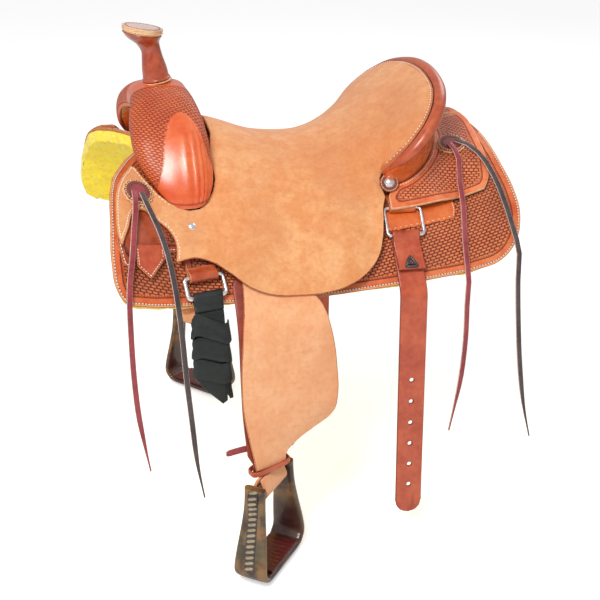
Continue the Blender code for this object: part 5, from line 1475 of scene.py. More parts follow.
def build_horn_cap(place):
    """The cap: a leather-covered disc, bound with pale edging and stitched round its top."""
    r = HORN_CAP_RADIUS
    t = HORN_CAP_THICKNESS
    bpy.ops.mesh.primitive_cylinder_add(vertices=HORN_CAP_SIDES, radius=r - 0.0006, depth=t,
                                        location=(0, 0, t / 2))
    cap = bpy.context.active_object
    edit_faces(cap, lambda centre, normal: abs(normal.z) < 0.5)
    bpy.ops.mesh.subdivide(number_cuts=3)
    edit_faces(cap, lambda centre, normal: abs(normal.z) > 0.5)
    bpy.ops.mesh.inset(thickness=0.0018)
    bpy.ops.mesh.inset(thickness=0.0014)
    set_mode("OBJECT")
    for v in cap.data.vertices:
        out = math.hypot(v.co.x, v.co.y)
        level = v.co.z / t
        if out > r - 0.001:
            swell = 0.0006 * (1 - (2 * level - 1) ** 2) - 0.0012 * max(level - 0.8, 0) / 0.2
            v.co.x *= 1 + swell / out
            v.co.y *= 1 + swell / out
            v.co.z -= 0.0011 if level > 0.9 else 0.0
        elif out > r - 0.0030 and level > 0.5:
            v.co.z -= 0.0002
    settle(cap, "horn_cap_cover", place, [HORN_TOP, CREAM_EDGE], "horn_cap", 50)
    axis = (place.to_3x3() @ Vector((0, 0, 1))).normalized()
    for polygon in cap.data.polygons:
        polygon.material_index = 0 if polygon.normal.dot(axis) > 0.85 else 1
    bead_ring("horn_cap_outer_stitches", place, r - 0.0047, t + 0.0001, 46, 0.0007, DARK_RED, 0.0, 0.62)
    bead_ring("horn_cap_inner_stitches", place, r - 0.0080, t + 0.0001, 40, 0.0005, PALE_EDGE, 0.0, 0.62)
    rows = []
    for i in range(HORN_EDGE_STITCHES):
        u = round_turn(i, HORN_EDGE_STITCHES)
        spot = place @ Vector(((r + 0.0001) * math.cos(u), (r + 0.0001) * math.sin(u), t * 0.36))
        out = place.to_3x3() @ Vector((math.cos(u), math.sin(u), 0))
        run = place.to_3x3() @ Vector((-math.sin(u), math.cos(u), 0))
        rows.append((spot, run, out, 0.0020, 0.00055))
    beads("horn_cap_edge_stitches", rows, THREAD, "saddle")


# Cantle

# Section of the rim's roll in millimetres: outward from the seat's edge, and up
ROLL_PROFILE = ((0.6, -3.2), (1.6, 1.0), (6.0, 4.0), (11.5, 5.0), (17.0, 3.2), (20.5, -1.5),
                (20.5, -7.5), (17.5, -11.5), (15.2, -12.2), (13.5, -6.8), (4.0, -6.6))
ROLL_STEPS = 34
ROLL_THINNING = 0.48
# The back's cover ends a little before the rim does
BACK_STEPS = 40
BACK_REACH = 0.965


def build_cantle():
    rings = []
    for i in range(-ROLL_STEPS, ROLL_STEPS + 1):
        u = i / ROLL_STEPS
        x, s = rim_at(u)
        height = seat_height(x, s)
        here = on_form(x, s, height, FAR)
        away = on_form(*rim_at(u, 0.01), height, FAR) - here
        before = rim_at(max(u - 0.02, -1.0))
        after = rim_at(min(u + 0.02, 1.0))
        run = on_form(*after, seat_height(*after), FAR) - on_form(*before, seat_height(*before), FAR)
        run.normalize()
        away = (away - run * away.dot(run)).normalized()
        up = run.cross(away)
        up = up if up.z > 0 else -up
        size = MM * (1 - ROLL_THINNING * smooth_step(abs(u), 0.75, 1.0))
        rings.append([here + away * (b * size) + up * (c * size) for b, c in ROLL_PROFILE])
    roll = lofted("cantle_binding", rings, [REDBROWN], "saddle", "cantle_roll", weighted=False)
    apply_modifier(roll, "SUBSURF", levels=2, render_levels=2)
    first = CANTLE_SETBACK + 0.0010
    low = BAR_THICKNESS + 2 * CLEARANCE
    rings = []
    steps = 9
    for i in range(-BACK_STEPS, BACK_STEPS + 1):
        u = BACK_REACH * i / BACK_STEPS
        x, s = rim_at(u)
        drop = 0.0150 - 0.0115 * smooth_step(abs(u), 0.72, 0.92)
        top = max(seat_height(x, s) - drop, low + 0.004)
        ring = []
        for k in range(steps + 1):
            ring.append(on_form(*rim_at(u, first + COVER_LEATHER), low + (top - low) * k / steps, FAR))
        for k in range(steps, -1, -1):
            ring.append(on_form(*rim_at(u, first), low + (top - low) * k / steps, FAR))
        rings.append(ring)
    lofted("cantle_back_cover", rings, [ORANGE], "saddle", "cantle_back", angle=50)


# Profiles that straps follow: straight and round stretches

FRONT_DEE_X = -0.2125
FRONT_DEE_BAR = 0.060
FRONT_DEE_ROD = 0.0035
FRONT_DEE_TOP = 0.278
FRONT_DEE_DROP = 0.031
REAR_DEE_X = 0.1175
REAR_DEE_BAR = 0.058
REAR_DEE_ROD = 0.003
REAR_DEE_TOP = 0.186
REAR_DEE_DROP = 0.047
DEE_CORNER = 0.006
DEE_SIDES = 20
FOLD_SWING = math.radians(40)
FOLD_BEND = 0.006
# A folded tab is narrower than its bar on each side, and leather ends just short of its track
TAB_INSET = 0.0085
TRACK_REST = 0.0005
FRONT_DEE_HEIGHT = RIGGING_GAP + RIGGING_LEATHER + FRONT_DEE_ROD + RUNNING_GAP
REAR_DEE_HEIGHT = RIGGING_GAP + RIGGING_LEATHER + REAR_DEE_ROD + RUNNING_GAP
FRONT_DEE = (FRONT_DEE_X, FRONT_DEE_TOP, FRONT_DEE_DROP, FRONT_DEE_HEIGHT)
REAR_DEE = (REAR_DEE_X, REAR_DEE_TOP, REAR_DEE_DROP, REAR_DEE_HEIGHT)
LATIGO_WIDTH = 0.045
BILLET_WIDTH = 0.043
LATIGO_PITCH = 0.033
LATIGO_START = 0.043
LATIGO_WRAP_LEATHER = 0.0058
LATIGO_TURNS = 3.0
LATIGO_STEPS = 168


class Track:
    """A strap's side profile, in outward distance and height."""

    def __init__(self, start, heading, stretches):
        self.parts = []
        place = Vector(start)
        turn = math.radians(heading)
        for length, bend in stretches:
            bend = math.radians(bend)
            self.parts.append((place.copy(), turn, length, bend))
            place, turn = self.along(place, turn, length, bend, length)
        self.length = sum(part[2] for part in self.parts)

    @staticmethod
    def along(place, turn, length, bend, t):
        if bend == 0:
            return place + t * Vector((math.cos(turn), math.sin(turn))), turn
        radius = length / bend
        now = turn + bend * t / length
        centre = place + radius * Vector((-math.sin(turn), math.cos(turn)))
        return centre - radius * Vector((-math.sin(now), math.cos(now))), now

    def at(self, t):
        """Place and outer normal a length t along the track."""
        for place, turn, length, bend in self.parts:
            if t <= length or (place, turn) == self.parts[-1][:2]:
                point, now = self.along(place, turn, length, bend, t)
                return point, Vector((-math.sin(now), math.cos(now)))
            t -= length

    def cuts(self, arc_step=14):
        """Lengths at which a strap on this track is cut across to bend well."""
        found = []
        begin = 0.0
        for _, _, length, bend in self.parts:
            count = max(int(math.ceil(abs(math.degrees(bend)) / arc_step)), 1)
            found += [begin + length * i / count for i in range(count + 1)]
            begin += length
        return sorted(set(round(t, 6) for t in found))[1:-1]


def fold_run(radius, ply):
    """Straight length from a wrap round a bar to the bend that lays the leather on itself."""
    drop = (radius * (1 + math.cos(FOLD_SWING)) - FOLD_BEND * (1 - math.cos(FOLD_SWING))
            - ply - RUNNING_GAP)
    return drop / math.sin(FOLD_SWING)


def fold_track(start, dee_top, rod_radius, ply, tail):
    radius = rod_radius + RUNNING_GAP + ply / 2
    swing = math.degrees(FOLD_SWING)
    return Track((start, RIGGING_GAP + ply / 2), 0, [
        (dee_top - start, 0), (radius * (math.pi + FOLD_SWING), 180 + swing), (fold_run(radius, ply), 0),
        (FOLD_BEND * FOLD_SWING, -swing), (tail, 0)])


# Rigging leathers

def folded_place(track, start, dee_x, dee_top, half, ply, side):
    """Lay leather on the form and fold its tab round a dee's level top bar."""
    base = on_form(dee_x, dee_top, 0.0, side)
    level, down, out = form_axes(dee_x, dee_top, side)

    def place(x, t, h):
        if abs(x - dee_x) > half + 0.004:
            return on_form(x, t, RIGGING_GAP + h, side)
        point, normal = track.at(t - start)
        point = point + normal * (h - ply / 2)
        laid = on_form(x, point.x, point.y, side)
        bent = base + level * ((x - dee_x) / level.x) + down * (point.x - dee_top) + out * point.y
        return laid.lerp(bent, smooth_step(t, dee_top - 0.030, dee_top - 0.002))
    return place


def rigging_fold(start, dee, rod, bar, tail):
    """A rigging leather's track round its dee, half the tab's width, its sides and end, and its cuts."""
    x, top = dee[:2]
    track = fold_track(start, top, rod, RIGGING_LEATHER, tail)
    end = start + track.length - TRACK_REST
    half = bar / 2 - TAB_INSET
    return track, half, x - half, x + half, end, [start + t for t in track.cuts(8)]


def build_front_rigging():
    start = 0.142
    fold = rigging_fold(start, FRONT_DEE, FRONT_DEE_ROD, FRONT_DEE_BAR, 0.002)
    track, half, left, right, end, folds = fold
    outline = (corners((-0.168, start))
               + smooth_points((-0.225, start), (-0.270, 0.150), (-0.300, 0.170), (-0.322, 0.205),
                               (-0.330, 0.250), (-0.329, 0.270), (-0.320, 0.292))
               + smooth_points((-0.300, 0.274), (-0.268, 0.255))
               + corners((left - 0.008, 0.247), (left, 0.256), (left, end), (right, end), (right, 0.256),
                         (-0.168, 0.235)))
    for word, side in SIDES:
        place = folded_place(track, start, FRONT_DEE_X, FRONT_DEE_TOP, half, RIGGING_LEATHER, side)
        line = panel(word + "_front_rigging", outline, RIGGING_LEATHER, place,
                     [RIGGING_TOOLING, TAN_EDGE, REDBROWN], "saddle", "front_rigging_" + word,
                     cell=0.007, cuts_s=folds, stamp=lambda x, s: smooth_step(x, -0.262, -0.256))[1]
        stitches(word + "_front_rigging_stitching", line, 0.0036, place, RIGGING_LEATHER, "saddle",
                 0.0048, lambda x, s: x < -0.24 and s > 0.20)


def build_rear_rigging():
    start = 0.146
    fold = rigging_fold(start, REAR_DEE, REAR_DEE_ROD, REAR_DEE_BAR, 0.004)
    track, half, left, right, end, folds = fold
    outline = corners((left, start), (right, start), (right, end), (left, end))
    for word, side in SIDES:
        place = folded_place(track, start, REAR_DEE_X, REAR_DEE_TOP, half, RIGGING_LEATHER, side)
        panel(word + "_rear_rigging", outline, RIGGING_LEATHER, place, [ORANGE, TAN_EDGE, ORANGE],
              "saddle", "rear_rigging_" + word, cell=0.008, cuts_s=folds)


RIGGING_BAND = 0.0026


def build_rigging_band():
    """Smooth band of the rear rigging on the skirt, its lower edge scalloped."""
    left = 0.070
    right = 0.200
    low = 0.2195
    lobes = 22
    scallops = []
    for i in range(lobes * 4 + 1):
        x = right - (right - left) * i / (lobes * 4)
        rise = 0.0016 * abs(math.sin(math.pi * i / 4)) ** 0.6
        scallops.append(corner(x, low - rise + 0.010 * (0.14 - x)))
    outline = (corners((left, 0.165), (right - 0.004, 0.165))
               + smooth_points((right + 0.002, 0.185), (right + 0.003, 0.205)) + scallops[1:])
    for word, side in SIDES:
        place = at_height(0.0003, side)
        line = panel(word + "_rigging_band", outline, RIGGING_BAND, place, [ORANGE, TAN_EDGE, FLESH],
                     "saddle", (), cell=0.008)[1]
        stitches(word + "_band_stitching", line, 0.0030, place, RIGGING_BAND, "saddle", 0.0042,
                 lambda x, s: s > 0.19, None, 0.0006)


def build_latigo_keeper():
    ply = 0.0028
    fold = 0.252
    slant = -0.28
    left = -0.306
    right = -0.264
    middle = (left + right) / 2
    radius = ply / 2 + 0.0002
    under = 0.010
    base = RIGGING_GAP + RIGGING_LEATHER + CLEARANCE + ply / 2
    track = Track((fold + under, base), 180, [(under, 0), (radius * math.pi, -180), (0.050, 0)])
    turn = under + radius * math.pi
    outline = corners((left, 0.0), (right, 0.0), (right, turn + 0.018), (left + 0.018, turn + 0.048),
                      (left, turn + 0.030))

    def place(x, t, h):
        point, normal = track.at(t)
        point = point + normal * (h - ply / 2)
        return on_form(x, point.x + slant * (x - middle), point.y, NEAR)

    def keeper_place(x, t, h):
        return place(x, t, ply - h)

    line = panel("keeper_leather", outline, ply, keeper_place, [BILLET, TAN_EDGE, BILLET], "saddle",
                 "latigo_keeper", cell=0.007, cuts_s=track.cuts(15))[1]
    stitches("keeper_stitching", line, 0.0030, place, ply, "saddle", 0.0042,
             lambda x, t: t > turn + 0.003, None, 0.0006)


# Dees, billets and the latigo

def dee_frame(x, s, drop, height, side):
    """Centre of a dee's top bar, the level direction along it, and down and out from the form."""
    level, down, out = form_axes(x, s + drop / 2, side)
    centre = on_form(x, s, 0.0, side) + form_axes(x, s, side)[2] * height
    return centre, level, down, out


def dee_points(frame_axes, bar, drop):
    """Centre line of a dee: a straight top bar, round lower corners and a straight lower bar."""
    centre, level, down, _ = frame_axes
    half = bar / 2
    radius = DEE_CORNER
    points = []
    for index, (across, depth) in enumerate(((-half, 0.0), (half, 0.0), (half, drop), (-half, drop))):
        middle_a = across - math.copysign(radius, across)
        middle_d = depth + (radius if depth == 0 else -radius)
        for step in range(11):
            u = math.radians((180, 270, 0, 90)[index] + 9 * step)
            points.append(centre + level * (middle_a + radius * math.cos(u))
                          + down * (middle_d + radius * math.sin(u)))
    return points


def build_dee(word, label, dee, bar, radius, side):
    """A smooth ring of round steel bar."""
    axes = dee_frame(*dee, side)
    points = dee_points(axes, bar, dee[2])
    count = len(points)
    rings = []
    for i, point in enumerate(points):
        run = (points[(i + 1) % count] - points[i - 1]).normalized()
        out = axes[3]
        across = run.cross(out).normalized()
        lift = across.cross(run).normalized()
        rings.append([point + (across * math.cos(u) + lift * math.sin(u)) * radius
                      for u in (round_turn(k, DEE_SIDES) for k in range(DEE_SIDES))])
    lofted(f"{word}_{label}_dee_ring", rings, [STEEL], f"{word}_{label}_dee", f"{label}_dee_{word}",
           closed=True)


def build_dees():
    for word, side in SIDES:
        build_dee(word, "front", FRONT_DEE, FRONT_DEE_BAR, FRONT_DEE_ROD, side)
        build_dee(word, "rear", REAR_DEE, REAR_DEE_BAR, REAR_DEE_ROD, side)


def strap_place(dee, rod_radius, plies, side, shift=0.0):
    """Lay a strap doubled over a dee's lower bar, its inner run going on down the flank."""
    centre, level, down, out = dee_frame(*dee, side)
    x, s, drop, _ = dee
    doubled, along, free = plies
    bar = centre + down * drop
    away = Vector((out.x, out.y, 0.0)).normalized()
    away -= level * (away.x / level.x)
    lean = math.acos(form_axes(x, s + drop, side)[2].z) - math.radians(1.7)
    round_run = max(BARREL_RADIUS * FLANK_ANGLE - s - drop, 0.0001)
    round_turn = math.degrees(round_run / BARREL_RADIUS)
    radius = rod_radius + RUNNING_GAP + STRAP_LEATHER / 2
    run = fold_run(radius, STRAP_LEATHER)
    swing = math.degrees(FOLD_SWING)
    below = (radius + FOLD_BEND) * math.sin(FOLD_SWING) + run * math.cos(FOLD_SWING) + doubled
    above = -radius + STRAP_LEATHER + RUNNING_GAP
    start = (above * math.sin(lean) + below * math.cos(lean),
             above * math.cos(lean) - below * math.sin(lean))
    upright = 88 - math.degrees(lean) - round_turn
    track = Track(start, 180 - math.degrees(lean), [
        (doubled, 0), (FOLD_BEND * FOLD_SWING, -swing), (run, 0),
        (radius * (math.pi + FOLD_SWING), 180 + swing), (round_run, -round_turn),
        (along - round_run, 0), (0.040 * math.radians(upright), -upright), (free, 0)])

    def place(across, t, h):
        point, normal = track.at(t)
        point = point + normal * (h - STRAP_LEATHER / 2)
        return bar + level * (across + shift) + away * point.x + Vector((0, 0, point.y))
    return place, track, bar, level, away


def strap_outline(width, length, tip):
    half = width / 2
    return [corner(-half, 0.0), corner(half, 0.0), corner(half, length - tip),
            *smooth_points((half * 0.82, length - tip * 0.42), (half * 0.35, length - tip * 0.06),
                           (-half * 0.35, length - tip * 0.06), (-half * 0.82, length - tip * 0.42)),
            corner(-half, length - tip)]


def round_hole(x, s, radius):
    return [(x + radius * math.cos(u), s + radius * math.sin(u), "AUTO")
            for u in (round_turn(i, 8) for i in range(8))]


# The triangle of lace that ties a billet's fold, over its outer face
TIE_CORNERS = ((0.0, 0.0215), (-0.0095, 0.0045), (0.0095, 0.0045))
TIE_HEIGHT = -0.0004
BILLET_HOLES = 6
HOLE_PITCH = 0.038
FIRST_HOLE = 0.052
HOLE_RADIUS = 0.0035


def build_billets():
    for word, side in SIDES:
        place, track = strap_place(REAR_DEE, REAR_DEE_ROD, (0.045, 0.077, 0.380), side, -0.002)[:2]
        length = track.length - TRACK_REST
        holes = [round_hole(0.0, length - FIRST_HOLE - HOLE_PITCH * i, HOLE_RADIUS)
                 for i in range(BILLET_HOLES)]
        panel(word + "_billet", strap_outline(BILLET_WIDTH, length, 0.022), STRAP_LEATHER, place,
              [BILLET, DARK_RED, BILLET], word + "_billet", "rear_billet_" + word, cell=0.009,
              holes=holes, cuts_s=track.cuts(8))
        rows = []
        for first, second in ((0, 1), (0, 2), (1, 2)):
            a, b = TIE_CORNERS[first], TIE_CORNERS[second]
            here = place((a[0] + b[0]) / 2, (a[1] + b[1]) / 2, TIE_HEIGHT)
            run = place(b[0], b[1], TIE_HEIGHT) - place(a[0], a[1], TIE_HEIGHT)
            across = place(0.001, b[1], 0.0) - place(0.0, b[1], 0.0)
            down = place(0.0, b[1] + 0.001, 0.0) - place(0.0, b[1], 0.0)
            out = across.cross(down).normalized()
            inner = place(0.0, b[1], STRAP_LEATHER) - place(0.0, b[1], 0.0)
            out = -out if out.dot(inner) > 0 else out
            rows.append((here, run, out, run.length * 1.12, 0.0026))
        for x in (-0.003, 0.003):
            rows.append((place(x, 0.0095, TIE_HEIGHT), run, out, 0.009, 0.0024))
        beads(word + "_billet_ties", rows, BLACK_LACE, word + "_billet")


def build_latigo():
    place, track, bar, level, away = strap_place(FRONT_DEE, FRONT_DEE_ROD, (0.008, 0.021, 0.130), NEAR)
    length = track.length - TRACK_REST
    half = LATIGO_WIDTH / 2
    outline = corners((-half, 0.0), (half, 0.0), (half, length - 0.004), (half - 0.008, length),
                      (-half + 0.004, length - 0.036), (-half, length - 0.046))
    panel("latigo_strap", outline, STRAP_LEATHER, place,
          [LATIGO, LATIGO, LATIGO], "near_latigo", "latigo", cell=0.008, cuts_s=track.cuts(8))
    inner = sum(part[2] for part in track.parts[:4])
    half = LATIGO_WIDTH / 2 + 0.0034
    deep = STRAP_LEATHER / 2 + 0.0006
    rings = []
    for i in range(LATIGO_STEPS + 1):
        u = 2 * math.pi * LATIGO_TURNS * i / LATIGO_STEPS
        a = signed_power(math.cos(u), 0.4)
        b = signed_power(math.sin(u), 0.4)
        t = inner + LATIGO_START + LATIGO_PITCH * u / (2 * math.pi)
        t += 0.015 * a + 0.0022 * math.sin(2.3 * u) - 0.004
        point, normal = track.at(t)
        run = away * normal.y - Vector((0, 0, normal.x))
        out = away * normal.x + Vector((0, 0, normal.y))
        middle = bar + away * point.x + Vector((0, 0, point.y))
        outward = (level * a * 0.5 + out * b).normalized()
        spot = middle + level * (half * a) + out * (deep * b)
        broad = run * (LATIGO_PITCH * 0.49)
        fold = 0.10 * math.sin(3.1 * u + 1.0)
        ring = []
        for across, rise in ((-1.0, 0.0), (-1.0, 0.35), (-0.90, 0.52), (-0.45, 0.70 - fold),
                             (0.0, 0.70 + fold), (0.45, 0.96), (0.90, 1.08), (1.0, 0.85), (1.0, 0.0)):
            ring.append(spot + broad * across + outward * (LATIGO_WRAP_LEATHER * rise))
        rings.append(ring)
    lofted("latigo_bundle", rings, [LATIGO], "near_latigo", "latigo_wrap", angle=50)


# Fender, stirrup leather and hobble strap

FENDER_PIVOT_X = -0.120
FENDER_PIVOT_S = 0.270
FENDER_LIFT = 0.007
STIRRUP_LEATHER_X = -0.131
STIRRUP_LEATHER_WIDTH = 0.074
STIRRUP_TURN = math.radians(50)
STIRRUP_BOLT_T = 0.325
STIRRUP_HEIGHT = 0.149
STIRRUP_TOP_WIDTH = 0.084
STIRRUP_TREAD_WIDTH = 0.124
STIRRUP_TOP_DEPTH = 0.034
STIRRUP_TREAD_DEPTH = 0.056
STIRRUP_WALL = 0.012
ROLLER_RADIUS = 0.009
HOBBLE_T = 0.2945
HOBBLE_TURN_SHARE = 0.35
HOBBLE_SET_OUT = 0.0072
HOBBLE_WIDTH = 0.017
HOBBLE_HALF = STIRRUP_LEATHER_WIDTH / 2 - 0.006
HOBBLE_DEPTH = 0.010
HOBBLE_WALL = 0.003
LOOP_HALF = 0.034
LOOP_WALL = 0.004
LOOP_WRAP = 24
FENDER_TOP = 0.030


def hang_track():
    """Side profile of the fender: down the flank, then bending towards the vertical."""
    out, up = section(FENDER_PIVOT_S, FENDER_LIFT)
    flank = math.degrees(FLANK_ANGLE)
    angle = math.radians(flank)
    tail = 0.030
    start = Vector((out - tail * math.cos(angle), crown(FENDER_PIVOT_X) + up + tail * math.sin(angle)))
    bend = 84 - flank
    return Track(start, -flank, [(tail + 0.045, 0), (0.12 * math.radians(bend), -bend), (0.5, 0)])


HANG = hang_track()


def hang_place(side, low):
    """Lay leather on the hanging track. Its length is counted from the fender's pivot."""
    def place(x, t, h):
        point, normal = HANG.at(t + FENDER_TOP)
        share = smooth_step(t, 0.19, HOBBLE_T - HOBBLE_WIDTH / 2)
        turn = STIRRUP_TURN * HOBBLE_TURN_SHARE * -side * share
        across = x - STIRRUP_LEATHER_X
        deep = side * normal.x * (low + h)
        centre = side * (point.x + HOBBLE_SET_OUT * share)
        return Vector((STIRRUP_LEATHER_X + across * math.cos(turn) - deep * math.sin(turn),
                       centre + across * math.sin(turn) + deep * math.cos(turn),
                       point.y + normal.y * (low + h)))
    return place


def stirrup_frame(side):
    """The centre of the stirrup's bolt, with the axes along it, across it and up."""
    point, _ = HANG.at(STIRRUP_BOLT_T + FENDER_TOP)
    centre = Vector((STIRRUP_LEATHER_X, side * point.x, point.y))
    centre.y += side * 0.006
    turn = STIRRUP_TURN * (-side)
    along = Vector((math.cos(turn), math.sin(turn), 0.0))
    across = Vector((-math.sin(turn), math.cos(turn), 0.0))
    return centre, along, across, Vector((0, 0, 1))


def build_fenders():
    x = STIRRUP_LEATHER_X
    fender = (corners((x - 0.022, -0.024), (x + 0.036, -0.024), (x + 0.054, 0.010))
              + smooth_points((-0.040, 0.045), (-0.026, 0.090), (-0.019, 0.150), (-0.019, 0.195),
                              (-0.027, 0.228), (-0.054, 0.248), (-0.084, 0.264))
              + corners((-0.105, 0.279), (-0.104, 0.296), (-0.158, 0.296), (-0.160, 0.284))
              + smooth_points((-0.165, 0.240), (-0.168, 0.160), (-0.163, 0.090), (-0.155, 0.030)))
    half = STIRRUP_LEATHER_WIDTH / 2
    held = HOBBLE_HALF - 0.0018
    neck = HOBBLE_T - HOBBLE_WIDTH / 2 - 0.001
    end = HOBBLE_T + HOBBLE_WIDTH / 2 - 0.001
    leather = corners((x - half, 0.012), (x - half + 0.018, -0.029), (x + half - 0.010, -0.029),
                      (x + half, 0.030), (x + held, neck), (x + held, end), (x - held, end),
                      (x - held, neck), (x - half, 0.270))
    for word, side in SIDES:
        body = word + "_fender"
        panel(word + "_stirrup_leather", leather, STIRRUP_LEATHER, hang_place(side, 0.0),
              [DARK_RED, DARK_RED, FLESH], body, "stirrup_leather_" + word, cell=0.009)
        place = hang_place(side, STIRRUP_LEATHER + 0.0010)
        panel(word + "_fender_leather", fender, FENDER_LEATHER, place,
              [FENDER_SUEDE, TAN_EDGE, FLESH], body, "fender_" + word, cell=0.0075, rounding=0.0014)
        build_hobble(word, side, body)


# Sections of the hobble strap: the belt's wall outward and height, and the tail's height and depth
BELT_SECTION = ((1, -0.24), (1, 0.24), (0.75, 0.32), (0.25, 0.32), (0, 0.24), (0, -0.24), (0.25, -0.32),
                (0.75, -0.32))
BELT_STEPS = 72
TAIL_ENDS = ((-0.150, 0.2985, -0.3425), (-0.196, 0.3000, -0.3475))
TAIL_SECTION = ((-1, -0.7), (-1, 0.7), (-0.8, 1), (0.8, 1), (1, 0.7), (1, -0.7), (0.8, -1), (-0.8, -1))


def build_hobble(word, side, body):
    """The hobble strap: a belt round the leathers, with its rounded tail hanging free."""
    centre = stirrup_frame(side)[0]
    middle = Vector((centre.x, centre.y, HANG.at(HOBBLE_T + FENDER_TOP)[0].y))
    turn = STIRRUP_TURN * HOBBLE_TURN_SHARE * -side
    ax = Vector((math.cos(turn), math.sin(turn), 0.0))
    ay = Vector((-math.sin(turn), math.cos(turn), 0.0))
    rings = []
    for index in range(BELT_STEPS):
        u = round_turn(index, BELT_STEPS)
        a = signed_power(math.cos(u), 0.5)
        b = signed_power(math.sin(u), 0.5)
        ring = []
        for wall, rise in BELT_SECTION:
            spot = middle + ax * (a * (HOBBLE_HALF + HOBBLE_WALL * wall))
            spot += ay * (b * (HOBBLE_DEPTH + HOBBLE_WALL * wall))
            ring.append(spot + Vector((0, 0, rise * HOBBLE_WIDTH * 0.8 + 0.0040 * a)))
        rings.append(ring)
    lofted(word + "_hobble_belt", rings, [REDBROWN, DARK_RED], body, "hobble_strap_" + word, closed=True,
           slot=lambda row, i: 0 if i in (0, 7, 1) else 1)
    start, finish = (Vector((x, side * y, z)) for x, y, z in TAIL_ENDS)
    rings = []
    count = 14
    for i in range(count + 1):
        share = i / count
        spot = start.lerp(finish, share) + Vector((0, 0, 0.0010 * math.sin(math.pi * share)))
        wide = 0.0052 * (1 - 0.35 * smooth_step(share, 0.9, 1.0))
        rings.append([spot + Vector((0, side * 0.0012 * d, wide * c)) for c, d in TAIL_SECTION])
    lofted(word + "_hobble_tail", rings, [BURGUNDY], body)


# Stirrups

STIRRUP_FINE = 6
BELL_SIDES = 24
# The ribbed tread, and the section of its leather as shares of its half depth and thickness
TREAD_LEATHER = 0.0029
TREAD_RIB = 0.0009
TREAD_RIBS = 9
TREAD_SECTION = ((-0.88, 0.0), (-0.88, 0.75), (-0.80, 1.0), (0.80, 1.0), (0.88, 0.75), (0.88, 0.0))
# Thongs over a dark seam, whose section is its half width and its height as shares of its leather
THONG_SPACING = 0.0092
THONG_LENGTH = 0.0150
THONG_RADIUS = 0.0027
SEAM_LEATHER = 0.0014
SEAM_SECTION = ((-0.0086, -2), (-0.0080, 0.8), (0.0, 1.0), (0.0080, 0.8), (0.0086, -2), (0.0, -2.4))
STIRRUP_DROP = STIRRUP_HEIGHT - 0.014


def stirrup_path():
    """Half section line of the bell, from a top end round the tread to the other end."""
    top_half = STIRRUP_TOP_WIDTH / 2
    low_half = STIRRUP_TREAD_WIDTH / 2
    drop = STIRRUP_DROP
    path = [(-top_half, 0.016), (-top_half - 0.001, 0.0), (-top_half - 0.004, -0.030),
            (-top_half - 0.010, -0.065), (-low_half + 0.003, -0.100), (-low_half, -0.122),
            (-low_half + 0.006, -drop + 0.004), (-low_half + 0.016, -drop), (0.0, -drop)]
    path += [(-a, z) for a, z in reversed(path[:-1])]
    stations = [[(i, point[axis]) for i, point in enumerate(path)] for axis in (0, 1)]
    last = len(path) - 1
    fine = []
    for i in range(last * STIRRUP_FINE + 1):
        t = i / STIRRUP_FINE
        fine.append(Vector((through(stations[0], t), through(stations[1], t))))
    return fine


def line_inside(bell, count, path):
    """Mark the bell's inner face below its neck, where a dark lining shows."""
    lining = bell.data.attributes.new("lining", "FLOAT", "POINT")
    for row, here in enumerate(path):
        low = smooth_step(-here.y, 0.045, 0.085)
        for k in range(count):
            inner = smooth_step(-math.sin(round_turn(k, count)), 0.1, 0.5)
            lining.data[row * count + k].value = 0.85 * inner * low


def build_stirrup(word, side):
    centre, along, across, up = stirrup_frame(side)
    body = word + "_stirrup"
    path = stirrup_path()
    rings = []
    frames = []
    for index, here in enumerate(path):
        before = path[max(index - 1, 0)]
        after = path[min(index + 1, len(path) - 1)]
        run = (after - before).normalized()
        outward = Vector((run.y, -run.x))
        share = smooth_step(-here.y, 0.0, STIRRUP_DROP)
        half = (STIRRUP_TOP_DEPTH + (STIRRUP_TREAD_DEPTH - STIRRUP_TOP_DEPTH) * share) / 2
        ring = []
        for k in range(BELL_SIDES):
            u = round_turn(k, BELL_SIDES)
            c = signed_power(math.cos(u), 0.5)
            w = signed_power(math.sin(u), 0.7)
            spot = here + outward * (STIRRUP_WALL * (0.5 + 0.5 * w))
            ring.append(centre + along * spot.x + up * spot.y + across * (half * c))
        rings.append(ring)
        frames.append((here, outward, run))
    bell = lofted(word + "_stirrup_bell", rings, [HIDE], body, "stirrup_" + word)
    line_inside(bell, BELL_SIDES, path)
    build_lacing(word, body, centre, along, across, up, frames)
    half_length = STIRRUP_TREAD_WIDTH / 2 - 0.019
    rings = []
    steps = TREAD_RIBS * 4
    for i in range(steps + 1):
        a = -half_length + 2 * half_length * i / steps
        rise = TREAD_LEATHER - TREAD_RIB * (0.5 - 0.5 * math.cos(2 * math.pi * i / 4))
        ring = []
        for depth, high in TREAD_SECTION:
            ring.append(centre + along * a + across * (STIRRUP_TREAD_DEPTH / 2 * depth)
                        + up * (-STIRRUP_DROP + 0.0004 + rise * high))
        rings.append(ring)
    lofted(word + "_stirrup_tread", rings, [TREAD], body, "stirrup_tread_" + word, angle=60)
    build_loop(word, centre, along, across, up)


